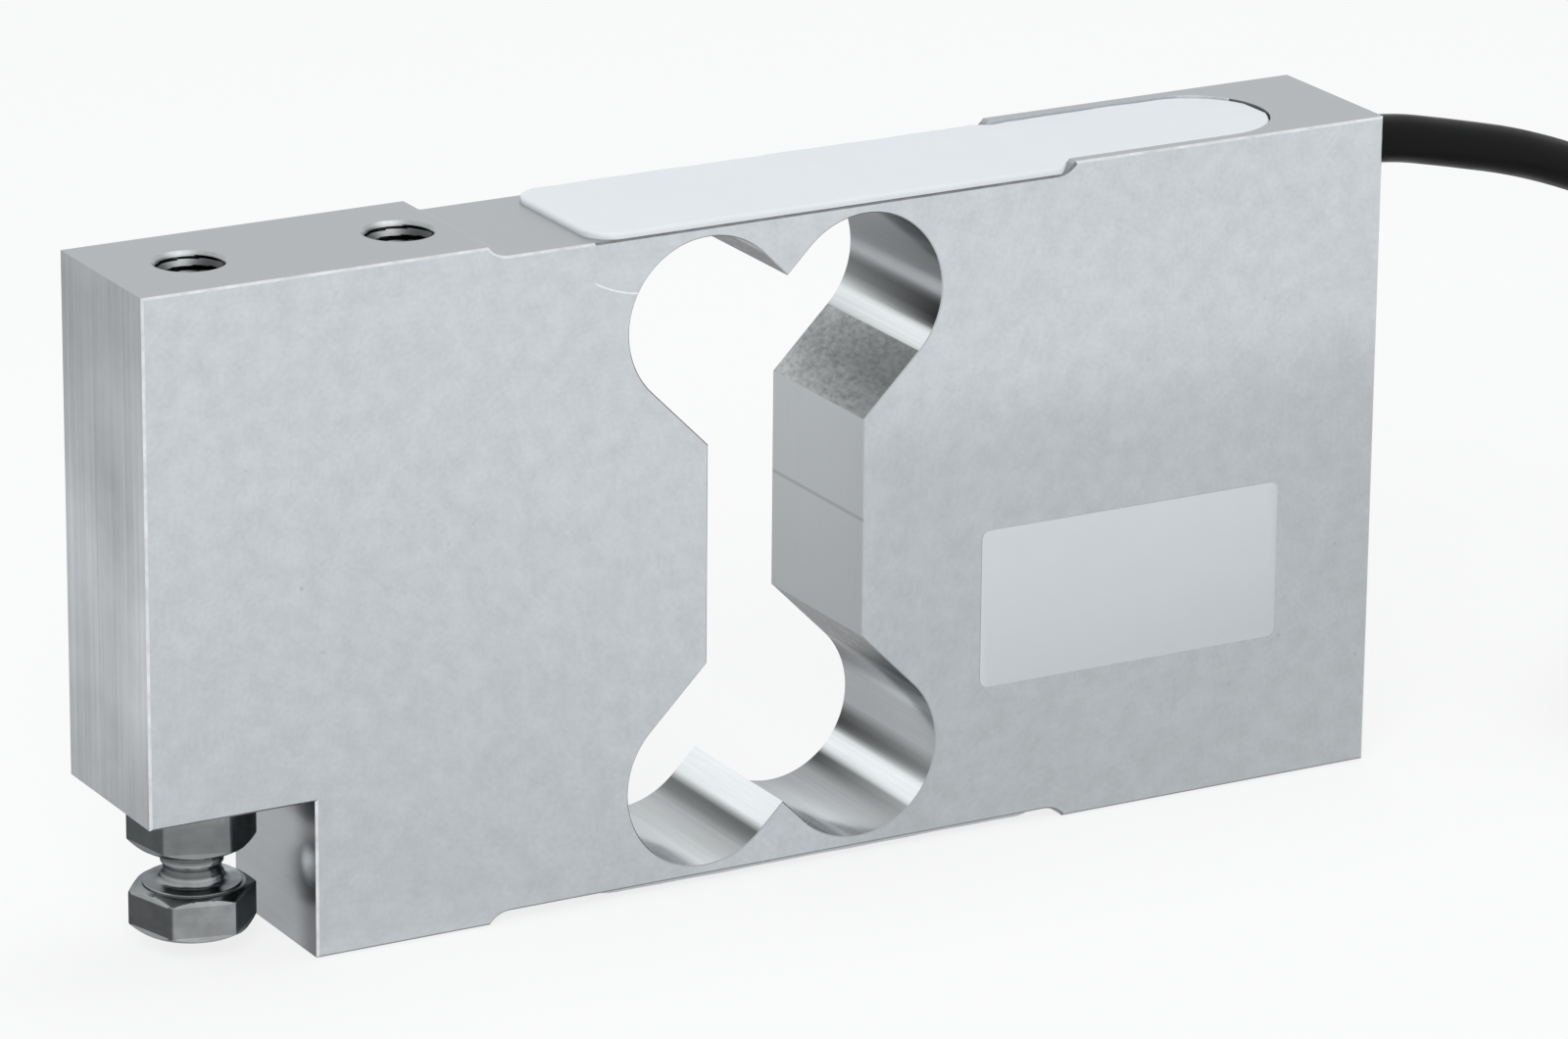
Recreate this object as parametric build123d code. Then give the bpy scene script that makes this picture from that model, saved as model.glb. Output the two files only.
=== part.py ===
from build123d import *
import math
import os

# Single point load cell: a flat aluminium beam on edge, in millimetres.
# X runs from the load end to the cable end, Y from the front face to the back, and Z is up.
# The origin is the middle of the base plane, under the middle of the opening.

# Block
block_length = 150.0
block_thickness = 20.0
block_height = 75.0
edge_break = 0.25

# Notch under the load end, where the stop screw hangs
notch_length = 19.0
notch_height = 17.5

# Steps milled in the top and the bottom face, over the thin webs
relief_length = 71.0
relief_depth = 1.2
relief_corner_r = 3.0

# Opening through the block: one cutter drives up a slot and out along four slanted arms
cutter_d = 19.0
lobe_offset = 9.5
web_thickness = 1.1

# Wiring pocket in the top of the fixed end, and the passages that open into it
pocket_lead_in = 8.5
pocket_end_wall = 10.0
pocket_width = 17.0
pocket_depth = 8.4
passage_inset = 3.5
passage_d = 3.0

# Tapped mounting holes, drawn at the thread's root
thread_root_d = 6.8
thread_mouth_d = 8.6
hole_pitch = 24.0
hole_inset = 10.0
hole_depth = 20.0
drill_tip_angle = 118.0

# Overload stop screw and its lock nut
stop_inset = 9.3
stop_hole_depth = 15.0
thread_gap = 0.1
hex_flats = 12.0
hex_chamfer_angle = 30.0
hex_chamfer_d = 11.2
washer_face_d = 10.6
washer_face_t = 0.25
stop_head_gap = 2.2
stop_head_h = 5.0
stop_reach = 9.8
stop_neck_d = 6.2
stop_neck_h = 2.2
stop_tip_chamfer = 0.8
stop_turn = -14.0
nut_h = 6.0
nut_turn = -19.4

# White sealant over the gauges
sealant_start = 23.0
sealant_t = 0.7
sealant_edge_r = 0.45
sealant_inset = 0.15
sealant_corner_r = 3.5
sealant_overlap = 1.0

# Foil gauges, their terminal strips and the wires between them and the board
gauge_length = 7.0
gauge_width = 5.0
gauge_t = 0.1
terminal_length = 2.5
terminal_width = 4.0
terminal_t = 0.25
terminal_gap = 1.0
pair_d = 0.5
pair_lift = 0.05
pair_slant = 3.0
pair_turn_in = 4.0
pair_rise = 1.0
passage_rise = 2.2

# Board in the pocket
board_length = 18.0
board_width = 11.0
board_t = 1.0
board_corner = 0.6
board_end_gap = 10.0
resistor_length = 3.2
resistor_width = 1.6
resistor_t = 0.6
resistor_edge = 0.1
resistor_pitch = 2.6
joint_d = 1.8
joint_h = 0.8
joint_taper = 30.0
joint_gap = 0.05
wire_joint_rows = (-3.6, -1.2, 1.2, 3.6)
core_joint_rows = (-4.2, -2.1, 0.0, 2.1, 4.2)

# Cable
cable_d = 5.4
cable_bore_gap = 0.1
cable_axis_drop = 5.5
cable_inside = 16.0
core_d = 1.1
drain_d = 0.7

# Label on the front face
label_length = 38.0
label_height = 18.0
label_t = 0.1
label_corner_r = 1.0
label_x = 43.5
label_z = 25.8

# Put-away hank: flat oval turns, in two columns and four layers
hank_straight = 75.0
hank_gap = 53.5
hank_y = -17.0
hank_inner_r = 15.3
hank_column_pitch = 5.6
hank_layer_pitch = 5.45
hank_layers = 4
hank_edge = 1.5
tie_t = 0.6
tie_width = 5.0

# Stripped end of the cable
sleeve_d = 6.4
sleeve_length = 9.0
sleeve_lip = 1.0
end_core_d = 1.3
core_clearance = 0.35
end_shield_d = 1.2
tip_d = 0.8
tip_length = 5.0

# Stripped cores: where each leaves the sleeve across and up, where it turns, and where it ends.
# The last two are X and Y from the middle of the hank.
end_core_plan = {
    "red": ((-1.05, -1.05), (21.0, -5.6), (34.0, -8.2)),
    "black": ((-1.05, 1.05), (25.0, -4.2), (37.0, -4.4)),
    "shield": ((0.0, 0.0), (23.0, -1.8), (38.5, -0.6)),
    "green": ((1.05, 1.05), (25.5, 0.6), (37.0, 3.0)),
    "white": ((1.05, -1.05), (22.0, 2.4), (33.5, 6.4)),
}

# Worked out from the sizes above
half_length = block_length / 2
half_thickness = block_thickness / 2
mid_height = block_height / 2
cutter_r = cutter_d / 2
web_offset = mid_height - relief_depth - web_thickness
lobe_height = web_offset - cutter_r
arm_start = lobe_height - lobe_offset
top_floor = block_height - relief_depth
pocket_start = relief_length / 2 - pocket_lead_in
pocket_end = half_length - pocket_end_wall
pocket_floor = block_height - pocket_depth
passage_x = pocket_start + passage_inset
board_x = pocket_end - board_end_gap - board_length / 2
board_top = pocket_floor + board_t
joint_top = board_top + joint_h + joint_gap
cable_z = block_height - cable_axis_drop
coat_end = relief_length / 2 - relief_corner_r
stop_x = stop_inset - half_length
terminal_x = lobe_offset + gauge_length / 2 + terminal_gap + terminal_length / 2
hank_outer_r = hank_inner_r + hank_column_pitch
hank_height = (hank_layers - 1) * hank_layer_pitch + cable_d
hank_start = half_length + hank_gap
hank_middle = hank_start + hank_straight / 2
strand_z = tie_t + cable_d / 2

# Free cable: how far each point is past the end face, across it, and down from its axis
slack_curve = [
    (0.0, 0.0, 0.0),
    (6.3, 0.0, 0.0),
    (14.5, 0.05, 1.72),
    (27.5, 0.5, 4.9),
    (44.0, 2.2, 12.0),
    (58.5, 5.6, 24.0),
    (70.0, 9.0, 39.5),
    (79.5, 10.5, 54.7),
]

# Where it lies on the base plane beside the hank and joins it: from the hank's start, across, and up
landing = [(38.5, 10.3, 5.0), (53.5, 9.8, 2.9), (70.5, 4.3, strand_z)]
lead_route = [(half_length + x, y, cable_z - drop) for x, y, drop in slack_curve]
lead_route += [(hank_start + x, y, z) for x, y, z in landing]

# Last stretch, out of the inner turns and along the base plane inside the hank
tail_curve = [(5.5, -2.4), (18.5, -6.6), (31.7, -12.0), (43.9, -15.8)]
tail_route = [(hank_start + x, y, strand_z) for x, y in tail_curve]


def corner_radii(points):
    """Largest bend at each corner: 0.45 of the shorter run, over the tangent of half the turn."""
    radii = []
    for before, corner, after in zip(points, points[1:], points[2:]):
        run_in = Vector(corner) - Vector(before)
        run_out = Vector(after) - Vector(corner)
        half_turn = math.radians(run_in.get_angle(run_out)) / 2
        radii.append(0.45 * min(run_in.length, run_out.length) / math.tan(half_turn))
    return radii


def tube(points, diameter, name=""):
    """Round bar along straight runs that tangent arcs join."""
    radii = corner_radii(points)
    path = FilletPolyline(*points, radius=radii)
    solid = sweep(Plane(path @ 0, z_dir=path % 0) * Circle(diameter / 2), path=path)
    if name:
        ideal = math.pi * diameter**2 / 4 * path.length
        bends = ", ".join(f"{radius:.0f}" for radius in radii)
        print(f"{name}: length {path.length:.1f}, bends {bends}, volume {solid.volume / ideal:.4f} of ideal")
    return solid


def sealed_wire(points, diameter):
    """Thin wire under the sealant: an eight-sided bar with mitred corners."""
    path = Polyline(*points)
    section = Plane(path @ 0, z_dir=path % 0) * RegularPolygon(diameter / 2, 8, major_radius=False)
    return sweep(section, path=path, transition=Transition.RIGHT)


def group(solids):
    """Separate solids of one kind, kept in one node."""
    return Compound(children=list(solids))


def cutter_track(start, end):
    """The plane area that the round cutter clears between two points of its path."""
    start, end = Vector(*start), Vector(*end)
    run = end - start
    middle = (start + end) / 2
    turn = math.degrees(math.atan2(run.Y, run.X))
    bar = Pos(middle.X, middle.Y) * Rot(0, 0, turn) * Rectangle(run.length, cutter_d)
    return bar + Pos(start.X, start.Y) * Circle(cutter_r) + Pos(end.X, end.Y) * Circle(cutter_r)


def opening():
    """The through opening: a slot with two slanted arms at each end, drawn about mid height."""
    area = cutter_track((0, -arm_start), (0, arm_start))
    for side in (-1, 1):
        for end in (-1, 1):
            area += cutter_track((0, end * arm_start), (side * lobe_offset, end * lobe_height))
    outline = Plane.XZ * Pos(0, mid_height) * area
    return extrude(outline, amount=block_thickness, both=True)


def relief(level):
    """A shallow step across the block, with round corners where its floor meets the pads."""
    corner_run = math.sqrt(relief_corner_r**2 - (relief_corner_r - relief_depth) ** 2)
    width = relief_length + 2 * (relief_corner_r - corner_run)
    height = 2 * relief_corner_r + relief_depth
    into_block = 1 if level > mid_height else -1
    centre = level + into_block * (height / 2 - relief_depth)
    outline = Plane.XZ * Pos(0, centre) * RectangleRounded(width, height, relief_corner_r)
    return extrude(outline, amount=block_thickness, both=True)


def tapped_hole(depth):
    """Cutter for a blind tapped hole that opens upwards at the origin: bore, drill tip and mouth."""
    root_r = thread_root_d / 2
    mouth_r = thread_mouth_d / 2
    tip = root_r / math.tan(math.radians(drill_tip_angle / 2))
    profile = Polyline(
        (0, 1),
        (mouth_r, 1),
        (mouth_r, 0),
        (root_r, root_r - mouth_r),
        (root_r, -depth),
        (0, -depth - tip),
        close=True,
    )
    return revolve(Plane.XZ * make_face(profile), Axis.Z)


def hole_places():
    """X of the two tapped holes of an end, measured outwards from the middle of the block."""
    outer = half_length - hole_inset
    return (outer, outer - hole_pitch)


def load_cell_body():
    block = extrude(
        Plane.XZ * Pos(0, mid_height) * Rectangle(block_length, block_height),
        amount=half_thickness,
        both=True,
    )
    notch = Pos(-half_length, 0, 0) * Box(2 * notch_length, 2 * block_thickness, 2 * notch_height)
    block = block - notch - relief(block_height) - relief(0)
    rims = block.faces().sort_by(Axis.Y)[0].edges() + block.faces().sort_by(Axis.Y)[-1].edges()
    block = chamfer(rims, edge_break)
    block -= opening()
    pocket_length = pocket_end - pocket_start
    pocket = extrude(SlotOverall(pocket_length, pocket_width), 2 * pocket_depth)
    block -= Pos(pocket_start + pocket_length / 2, 0, pocket_floor) * pocket
    bore_r = cable_d / 2 + cable_bore_gap
    bore_length = half_length - pocket_end + pocket_width / 2
    bore = Pos(half_length - bore_length / 2, 0, cable_z) * Rot(0, 90, 0) * Cylinder(bore_r, bore_length)
    block -= bore
    block -= Pos(passage_x, 0, mid_height) * Cylinder(passage_d / 2, block_height)
    for x in hole_places():
        block -= Pos(-x, 0, block_height) * tapped_hole(hole_depth)
        block -= Pos(x, 0, 0) * Rot(180, 0, 0) * tapped_hole(hole_depth)
    block -= Pos(stop_x, 0, notch_height) * Rot(180, 0, 0) * tapped_hole(stop_hole_depth)
    return block


def hexagon(height, turn, both_ends):
    """Hexagon prism from the origin upwards, with corners that a cone trims below, or at both ends."""
    corner_r = hex_flats / math.sqrt(3)
    ring_r = hex_chamfer_d / 2
    drop = (corner_r - ring_r) * math.tan(math.radians(hex_chamfer_angle))
    prism = extrude(Rot(0, 0, turn) * RegularPolygon(hex_flats / 2, 6, major_radius=False), height)
    points = [(0, 0), (ring_r, 0), (corner_r, drop)]
    if both_ends:
        points += [(corner_r, height - drop), (ring_r, height)]
    else:
        points += [(corner_r, height)]
    points += [(0, height)]
    return prism & revolve(Plane.XZ * make_face(Polyline(*points, close=True)), Axis.Z)


def overload_stop_bolt():
    """Hexagon screw, head down, with a washer face, a relieved neck and a threaded shank."""
    head = hexagon(stop_head_h, stop_turn, both_ends=True)
    shank_r = thread_root_d / 2 - thread_gap
    neck_r = stop_neck_d / 2
    face_r = washer_face_d / 2
    face_z = stop_head_h + washer_face_t
    neck_z = face_z + stop_neck_h
    tip_z = notch_height + stop_reach - stop_head_gap
    profile = Polyline(
        (0, stop_head_h / 2),
        (face_r, stop_head_h / 2),
        (face_r, face_z),
        (neck_r, face_z),
        (neck_r, neck_z - (shank_r - neck_r)),
        (shank_r, neck_z),
        (shank_r, tip_z - stop_tip_chamfer),
        (shank_r - stop_tip_chamfer, tip_z),
        (0, tip_z),
        close=True,
    )
    stem = revolve(Plane.XZ * make_face(profile), Axis.Z)
    bolt = head + stem
    seat = bolt.edges().filter_by(GeomType.CIRCLE).filter_by(lambda e: abs(e.radius - neck_r) < 0.01)
    bolt = fillet(seat.sort_by(Axis.Z)[0], stop_neck_h / 3)
    return Pos(stop_x, 0, stop_head_gap) * bolt


def stop_lock_nut():
    nut = hexagon(nut_h, nut_turn, both_ends=False)
    mouth = Rot(180, 0, 0) * tapped_hole(2 * nut_h)
    return Pos(stop_x, 0, notch_height - nut_h) * (nut - mouth)


def rating_label():
    film = extrude(RectangleRounded(label_length, label_height, label_corner_r), label_t)
    return Pos(label_x, -half_thickness, label_z) * Rot(90, 0, 0) * film


def gauge(side, floor, up):
    """One foil gauge on a relief floor, centred over a thin web. up is 1 on top and -1 below."""
    place = Pos(side * lobe_offset, 0, floor + up * gauge_t / 2)
    return place * Box(gauge_length, gauge_width, gauge_t)


def gauge_terminals(floor, up):
    strip = Box(terminal_length, terminal_width, terminal_t)
    height = floor + up * terminal_t / 2
    return group(Pos(side * terminal_x, 0, height) * strip for side in (-1, 1))


def joint_places():
    """Solder points on the board: a row for the gauge wires and a row for the cable's cores."""
    wire_x = board_x - board_length / 2 + joint_d
    core_x = board_x + board_length / 2 - joint_d
    wires = [(wire_x, y) for y in wire_joint_rows]
    cores = [(core_x, y) for y in core_joint_rows]
    return wires, cores


def bridge_board():
    board = Pos(board_x, 0, pocket_floor + board_t / 2) * Box(board_length, board_width, board_t)
    return chamfer(board.edges().filter_by(Axis.Z), board_corner)


def trim_resistors():
    block = Box(resistor_length, resistor_width, resistor_t)
    chip = chamfer(block.edges().filter_by(Axis.X), resistor_edge)
    height = board_top + resistor_t / 2
    rows = (-1.5, -0.5, 0.5, 1.5)
    return group(Pos(board_x, row * resistor_pitch, height) * chip for row in rows)


def board_joints():
    wires, cores = joint_places()
    base = RegularPolygon(joint_d / 2, 8, major_radius=False)
    cone = extrude(base, joint_h, taper=joint_taper)
    return group(Pos(x, y, board_top) * cone for x, y in wires + cores)


def surface_route(side, floor, up, turn_x):
    """From a terminal, out beside the gauges, and along the relief to where the wire turns in."""
    level = floor + up * (pair_d / 2 + pair_lift)
    beside = terminal_width / 2 + pair_d / 2
    outside = terminal_width / 2 + pair_slant
    start_x = side * terminal_x
    return [
        (start_x, side * beside, level),
        (start_x + pair_slant, side * outside, level),
        (turn_x, side * outside, level),
    ]


def gauge_leads_top():
    """One pair from each top terminal, over the pocket's edge and down to the board."""
    joint_x = joint_places()[0][0][0]
    level = joint_top + pair_d / 2
    pairs = []
    for side, joint_y in ((-1, wire_joint_rows[0]), (1, wire_joint_rows[-1])):
        route = surface_route(side, top_floor, 1, pocket_start + pair_turn_in)
        route += [(joint_x - 1.5 * pair_rise, joint_y, level + pair_rise), (joint_x, joint_y, level)]
        pairs.append(sealed_wire(route, pair_d))
    return group(pairs)


def gauge_leads_bottom():
    """One pair from each bottom terminal, up the wire passage and over to the board."""
    joint_x = joint_places()[0][0][0]
    low = relief_depth - pair_d / 2 - pair_lift
    high = pocket_floor + passage_rise
    pairs = []
    for side, joint_y in ((-1, wire_joint_rows[1]), (1, wire_joint_rows[2])):
        inside = side * passage_d / 5
        route = surface_route(side, relief_depth, -1, passage_x - pair_turn_in)
        route += [(passage_x, inside, low), (passage_x, inside, high)]
        route += [(joint_x, joint_y, joint_top + pair_d / 2)]
        pairs.append(sealed_wire(route, pair_d))
    return group(pairs)


def cable_inner_end():
    """The jacketed end that the bore holds, up to where the jacket stops in the pocket."""
    start = half_length - cable_inside
    return Pos((start + half_length) / 2, 0, cable_z) * Rot(0, 90, 0) * Cylinder(cable_d / 2, cable_inside)


def inner_core(index, diameter):
    """One core from the jacket's end face to its joint on the board."""
    joint_x, joint_y = joint_places()[1][index]
    start_x = half_length - cable_inside
    start_y = 0.36 * joint_y
    start_z = cable_z + (0.7 if index % 2 else -0.5)
    level = joint_top + diameter / 2
    return sealed_wire(
        [
            (start_x, start_y, start_z),
            (start_x - 1.5, start_y, start_z),
            (joint_x + 1.2, joint_y, level + 0.2),
            (joint_x - 0.3, joint_y, level),
        ],
        diameter,
    )


def top_sealant(embedded):
    """White coat over the top gauges, run on into the pocket, with what it covers cut out."""
    width = block_thickness - 2 * sealant_inset
    coat = Pos((coat_end - sealant_start) / 2, 0, top_floor) * extrude(
        Rectangle(coat_end + sealant_start, width), sealant_t
    )
    coat = fillet(coat.edges().filter_by(Axis.Z).sort_by(Axis.X)[:2], sealant_corner_r)
    coat = fillet(coat.faces().sort_by(Axis.Z)[-1].edges().sort_by(Axis.X)[:-1], sealant_edge_r)
    bridge_length = relief_corner_r + sealant_overlap
    bridge = Pos(coat_end + bridge_length / 2, 0, top_floor + sealant_t / 2) * Box(
        bridge_length, width, sealant_t
    )
    bridge = bridge & relief(block_height)
    pocket_length = pocket_end - pocket_start
    fill = Pos(pocket_start + pocket_length / 2, 0, pocket_floor) * extrude(
        SlotOverall(pocket_length, pocket_width), pocket_depth - relief_depth + sealant_t
    )
    solid = coat + bridge + fill
    for piece in embedded:
        solid -= piece
    return solid


def bottom_sealant(embedded):
    """The same coat over the bottom gauges and the mouth of the wire passage."""
    width = block_thickness - 2 * sealant_inset
    coat = extrude(RectangleRounded(coat_end + sealant_start, width, sealant_corner_r), sealant_t)
    coat = fillet(coat.faces().sort_by(Axis.Z)[0].edges(), sealant_edge_r)
    solid = Pos((coat_end - sealant_start) / 2, 0, relief_depth - sealant_t) * coat
    for piece in embedded:
        solid -= piece
    return solid


def oval(radius):
    """Plane outline of one turn of the hank, about the middle of the hank."""
    return SlotOverall(hank_straight + 2 * radius, 2 * radius)


def cable_hank():
    """Outer shape of the wound turns: an oval ring with rounded edges."""
    outer = oval(hank_outer_r + cable_d / 2)
    inner = oval(hank_inner_r - cable_d / 2)
    ring = extrude(outer - inner, hank_height)
    rims = ring.faces().filter_by(Axis.Z).edges()
    ring = chamfer(rims, hank_edge)
    return Pos(hank_middle, hank_y, tie_t) * ring


def hank_ties():
    """A flat strap round each straight side of the hank."""
    reach = (hank_column_pitch + cable_d) / 2
    middle = (hank_outer_r + hank_inner_r) / 2
    core = chamfer(Rectangle(2 * reach, hank_height).vertices(), hank_edge)
    band = offset(core, tie_t) - core
    strap = extrude(Plane.YZ * band, tie_width / 2, both=True)
    centre_z = tie_t + hank_height / 2
    return group(Pos(hank_middle, hank_y + side * middle, centre_z) * strap for side in (-1, 1))


def tail_end():
    """The point where the tail's jacket stops, and the directions along and across it."""
    before, last = Vector(*tail_route[-2]), Vector(*tail_route[-1])
    along = (last - before).normalized()
    return last, along, Vector(-along.Y, along.X, 0)


def cable_end_sleeve(tail):
    """Shrink sleeve round the end of the jacket, closed over it but for the cores."""
    last, along, _ = tail_end()
    start = last - along * (sleeve_length - sleeve_lip)
    return extrude(Plane(start, z_dir=along) * Circle(sleeve_d / 2), sleeve_length) - tail


def end_core(name, diameter):
    """Route of one stripped core: out of the sleeve, then down and along the base plane."""
    last, along, across = tail_end()
    (start_y, start_z), middle, end = end_core_plan[name]
    start = last + along * (sleeve_lip + core_clearance) + across * start_y + Vector(0, 0, start_z)
    turn = (hank_middle + middle[0], hank_y + middle[1], diameter / 2)
    return [tuple(start), turn, (hank_middle + end[0], hank_y + end[1], diameter / 2)]


def core_tip(route, diameter):
    """Tinned strands that stand out of a core's end."""
    before, last = Vector(*route[-2]), Vector(*route[-1])
    along = (last - before).normalized()
    plane = Plane(last, z_dir=along)
    return extrude(plane * RegularPolygon(diameter / 2, 8, major_radius=False), tip_length)


def build():
    """Every node of the load cell, by name."""
    nodes = {
        "load_cell_body": load_cell_body(),
        "overload_stop_bolt": overload_stop_bolt(),
        "stop_lock_nut": stop_lock_nut(),
        "rating_label": rating_label(),
        "gauge_top_load": gauge(-1, top_floor, 1),
        "gauge_top_fixed": gauge(1, top_floor, 1),
        "gauge_bottom_load": gauge(-1, relief_depth, -1),
        "gauge_bottom_fixed": gauge(1, relief_depth, -1),
        "gauge_terminals_top": gauge_terminals(top_floor, 1),
        "gauge_terminals_bottom": gauge_terminals(relief_depth, -1),
        "gauge_leads_top": gauge_leads_top(),
        "gauge_leads_bottom": gauge_leads_bottom(),
        "bridge_board": bridge_board(),
        "trim_resistors": trim_resistors(),
        "board_joints": board_joints(),
        "cable_inner_end": cable_inner_end(),
    }
    for index, colour in enumerate(("red", "black", "drain", "green", "white")):
        if colour == "drain":
            nodes["inner_drain_wire"] = inner_core(index, drain_d)
        else:
            nodes["inner_core_" + colour] = inner_core(index, core_d)
    inside_top = [name for name in nodes if name.startswith(("inner_", "board_", "trim_", "bridge_"))]
    inside_top += ["gauge_top_load", "gauge_top_fixed", "gauge_terminals_top", "gauge_leads_top"]
    inside_top += ["gauge_leads_bottom", "cable_inner_end"]
    inside_bottom = ["gauge_bottom_load", "gauge_bottom_fixed"]
    inside_bottom += ["gauge_terminals_bottom", "gauge_leads_bottom"]
    nodes["top_sealant"] = top_sealant([nodes[name] for name in inside_top])
    nodes["bottom_sealant"] = bottom_sealant([nodes[name] for name in inside_bottom])
    nodes["cable_hank"] = cable_hank()
    nodes["cable_lead"] = tube(lead_route, cable_d, "cable_lead") - nodes["cable_hank"]
    nodes["cable_tail"] = tube(tail_route, cable_d, "cable_tail") - nodes["cable_hank"]
    nodes["hank_ties"] = hank_ties()
    nodes["cable_end_sleeve"] = cable_end_sleeve(nodes["cable_tail"])
    tips = []
    for name in end_core_plan:
        diameter = end_shield_d if name == "shield" else end_core_d
        route = end_core(name, diameter)
        nodes["end_shield_lead" if name == "shield" else "end_core_" + name] = tube(route, diameter)
        tips.append(core_tip(route, tip_d))
    nodes["end_core_tips"] = group(tips)
    return nodes


os.makedirs("parts", exist_ok=True)
for node_name, shape in build().items():
    export_step(shape, f"parts/{node_name}.step")
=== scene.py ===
# %% [markdown]
# # A single point load cell
# The part is a flat aluminium beam that stands on edge. A bone-shaped opening leaves four thin webs,
# and foil gauges under white sealant feel how the webs bend. The CAD model gives every place and size
# in metres: X runs to the cable end, Y to the back face and Z up. Each cell makes a piece or a finish.

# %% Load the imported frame
import math

import bpy
import numpy as np
from mathutils import Matrix, Vector
from mathutils.geometry import tessellate_polygon


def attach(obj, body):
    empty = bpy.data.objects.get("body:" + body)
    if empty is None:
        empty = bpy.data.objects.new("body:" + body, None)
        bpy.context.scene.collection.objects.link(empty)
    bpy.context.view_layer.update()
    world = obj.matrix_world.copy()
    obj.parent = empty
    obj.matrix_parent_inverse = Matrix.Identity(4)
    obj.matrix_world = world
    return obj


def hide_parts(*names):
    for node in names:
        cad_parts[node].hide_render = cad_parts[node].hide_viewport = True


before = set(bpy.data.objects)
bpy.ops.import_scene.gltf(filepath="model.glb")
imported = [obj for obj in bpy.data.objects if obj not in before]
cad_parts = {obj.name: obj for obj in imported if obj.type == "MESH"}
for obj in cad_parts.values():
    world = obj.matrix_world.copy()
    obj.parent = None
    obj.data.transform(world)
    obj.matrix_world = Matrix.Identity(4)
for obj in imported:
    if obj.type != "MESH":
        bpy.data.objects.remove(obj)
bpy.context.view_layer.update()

mm = 0.001

# %% [markdown]
# ## The camera
# A long lens far away gives the photograph's flat perspective. Its place, direction and small roll were
# solved from the block's own edges, so the camera is built from those numbers instead of being aimed.

# %% Place the camera
camera_place = (-0.3988, -0.7161, 0.3088)
azimuth, elevation, roll = math.radians(-29.445), math.radians(18.341), math.radians(0.542)
lens_mm = 183.65


def camera_axes(turn, rise, lean):
    """Right, up and backward: a level camera is turned and raised, then leans about its own view line."""
    forward = Vector((-math.sin(turn) * math.cos(rise), math.cos(turn) * math.cos(rise), -math.sin(rise)))
    right = forward.cross(Vector((0, 0, 1))).normalized()
    up = right.cross(forward)
    return (
        math.cos(lean) * right + math.sin(lean) * up,
        math.cos(lean) * up - math.sin(lean) * right,
        -forward,
    )


camera_data = bpy.data.cameras.new("photo_camera")
camera_data.lens = lens_mm
camera_data.sensor_width = 36.0
camera_data.clip_start, camera_data.clip_end = 0.01, 20.0
camera = bpy.data.objects.new("photo_camera", camera_data)
bpy.context.scene.collection.objects.link(camera)
turned = Matrix(camera_axes(azimuth, elevation, roll)).transposed().to_4x4()
camera.matrix_world = Matrix.Translation(camera_place) @ turned
bpy.context.scene.camera = camera
print("camera at", tuple(round(v, 4) for v in camera.location))

# %% [markdown]
# ## The cable
# A jacketed cable is a fixed length of something flexible. It could be a swept mesh, but a NURBS curve
# with a round bevel bends smoothly between few points and keeps its thickness, so that is what a free
# cord should be. It leaves the end face, sags to the surface, and its unseen length is wound into a
# flat oval hank in line with the beam: four turns outside, three inside, and a short free end.

# %% Lay out the cable's route
cable_d, exit_z = 5.4, 69.5
hank_start, hank_straight, hank_y = 128.5, 75.0, -17.0
hank_middle = hank_start + hank_straight / 2
column_r = (20.9, 15.3)
strand_z, layer_pitch = 3.3, 5.45
spline_share = 0.966  # the radius that the spline reaches, over the radius of its points

lead_points = [
    (75.0, 0.0, exit_z),
    (81.3, 0.0, exit_z),
    (89.5, 0.05, 67.78),
    (102.5, 0.5, 64.6),
    (119.0, 2.2, 57.5),
    (133.5, 5.6, 45.5),
    (145.0, 9.0, 30.0),
    (154.5, 10.5, 14.8),
    (167.0, 10.3, 5.0),
    (182.0, 9.8, 2.9),
    (199.0, 4.3, strand_z),
]
tail_places = [(134.0, -2.4), (147.0, -6.6), (160.2, -12.0), (172.4, -15.8)]
tail_points = [(x, y, strand_z) for x, y in tail_places]


def half_turn(centre_x, first_angle, radius, level):
    """Six points spread evenly round half a circle, clockwise. They stand a little outside it, because
    the spline cuts inside its points."""
    angles = np.radians(first_angle - 30.0 * np.arange(6))
    reach = radius / spline_share
    x = centre_x + reach * np.cos(angles)
    y = hank_y + reach * np.sin(angles)
    return np.column_stack([x, y, np.full(6, level)])


def strand(columns, heights):
    """One turn: round the far end, along the front, round the near end, and along the back. columns and
    heights give the turn's column and layer on each of those stretches."""
    far_r, front_r, near_r, back_r = (column_r[c] for c in columns)
    far_z, near_z, back_z = (strand_z + layer_pitch * k for k in heights)
    front = [(190.0, hank_y - far_r, far_z), (142.0, hank_y - front_r, near_z)]
    back = [
        (134.0, hank_y + near_r, near_z),
        (160.0, hank_y + back_r, near_z),
        (197.0, hank_y + back_r, back_z),
    ]
    far_end = half_turn(hank_start + hank_straight, 75.0, far_r, far_z)
    near_end = half_turn(hank_start, -105.0, near_r, near_z)
    return np.vstack([far_end, front, near_end, back])


outer_turns = [strand((0, 0, 0, 0), (k, k, k + 1)) for k in range(3)]
change_turn = [strand((0, 0, 0, 1), (3, 3, 3))]
inner_turns = [strand((1, 1, 1, 1), (k, k - 1, k - 1)) for k in (3, 2, 1)]
inner_turns[-1] = inner_turns[-1][:-3]
route = np.vstack([lead_points, *outer_turns, *change_turn, *inner_turns, tail_points])
print("route points:", len(route))


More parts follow.
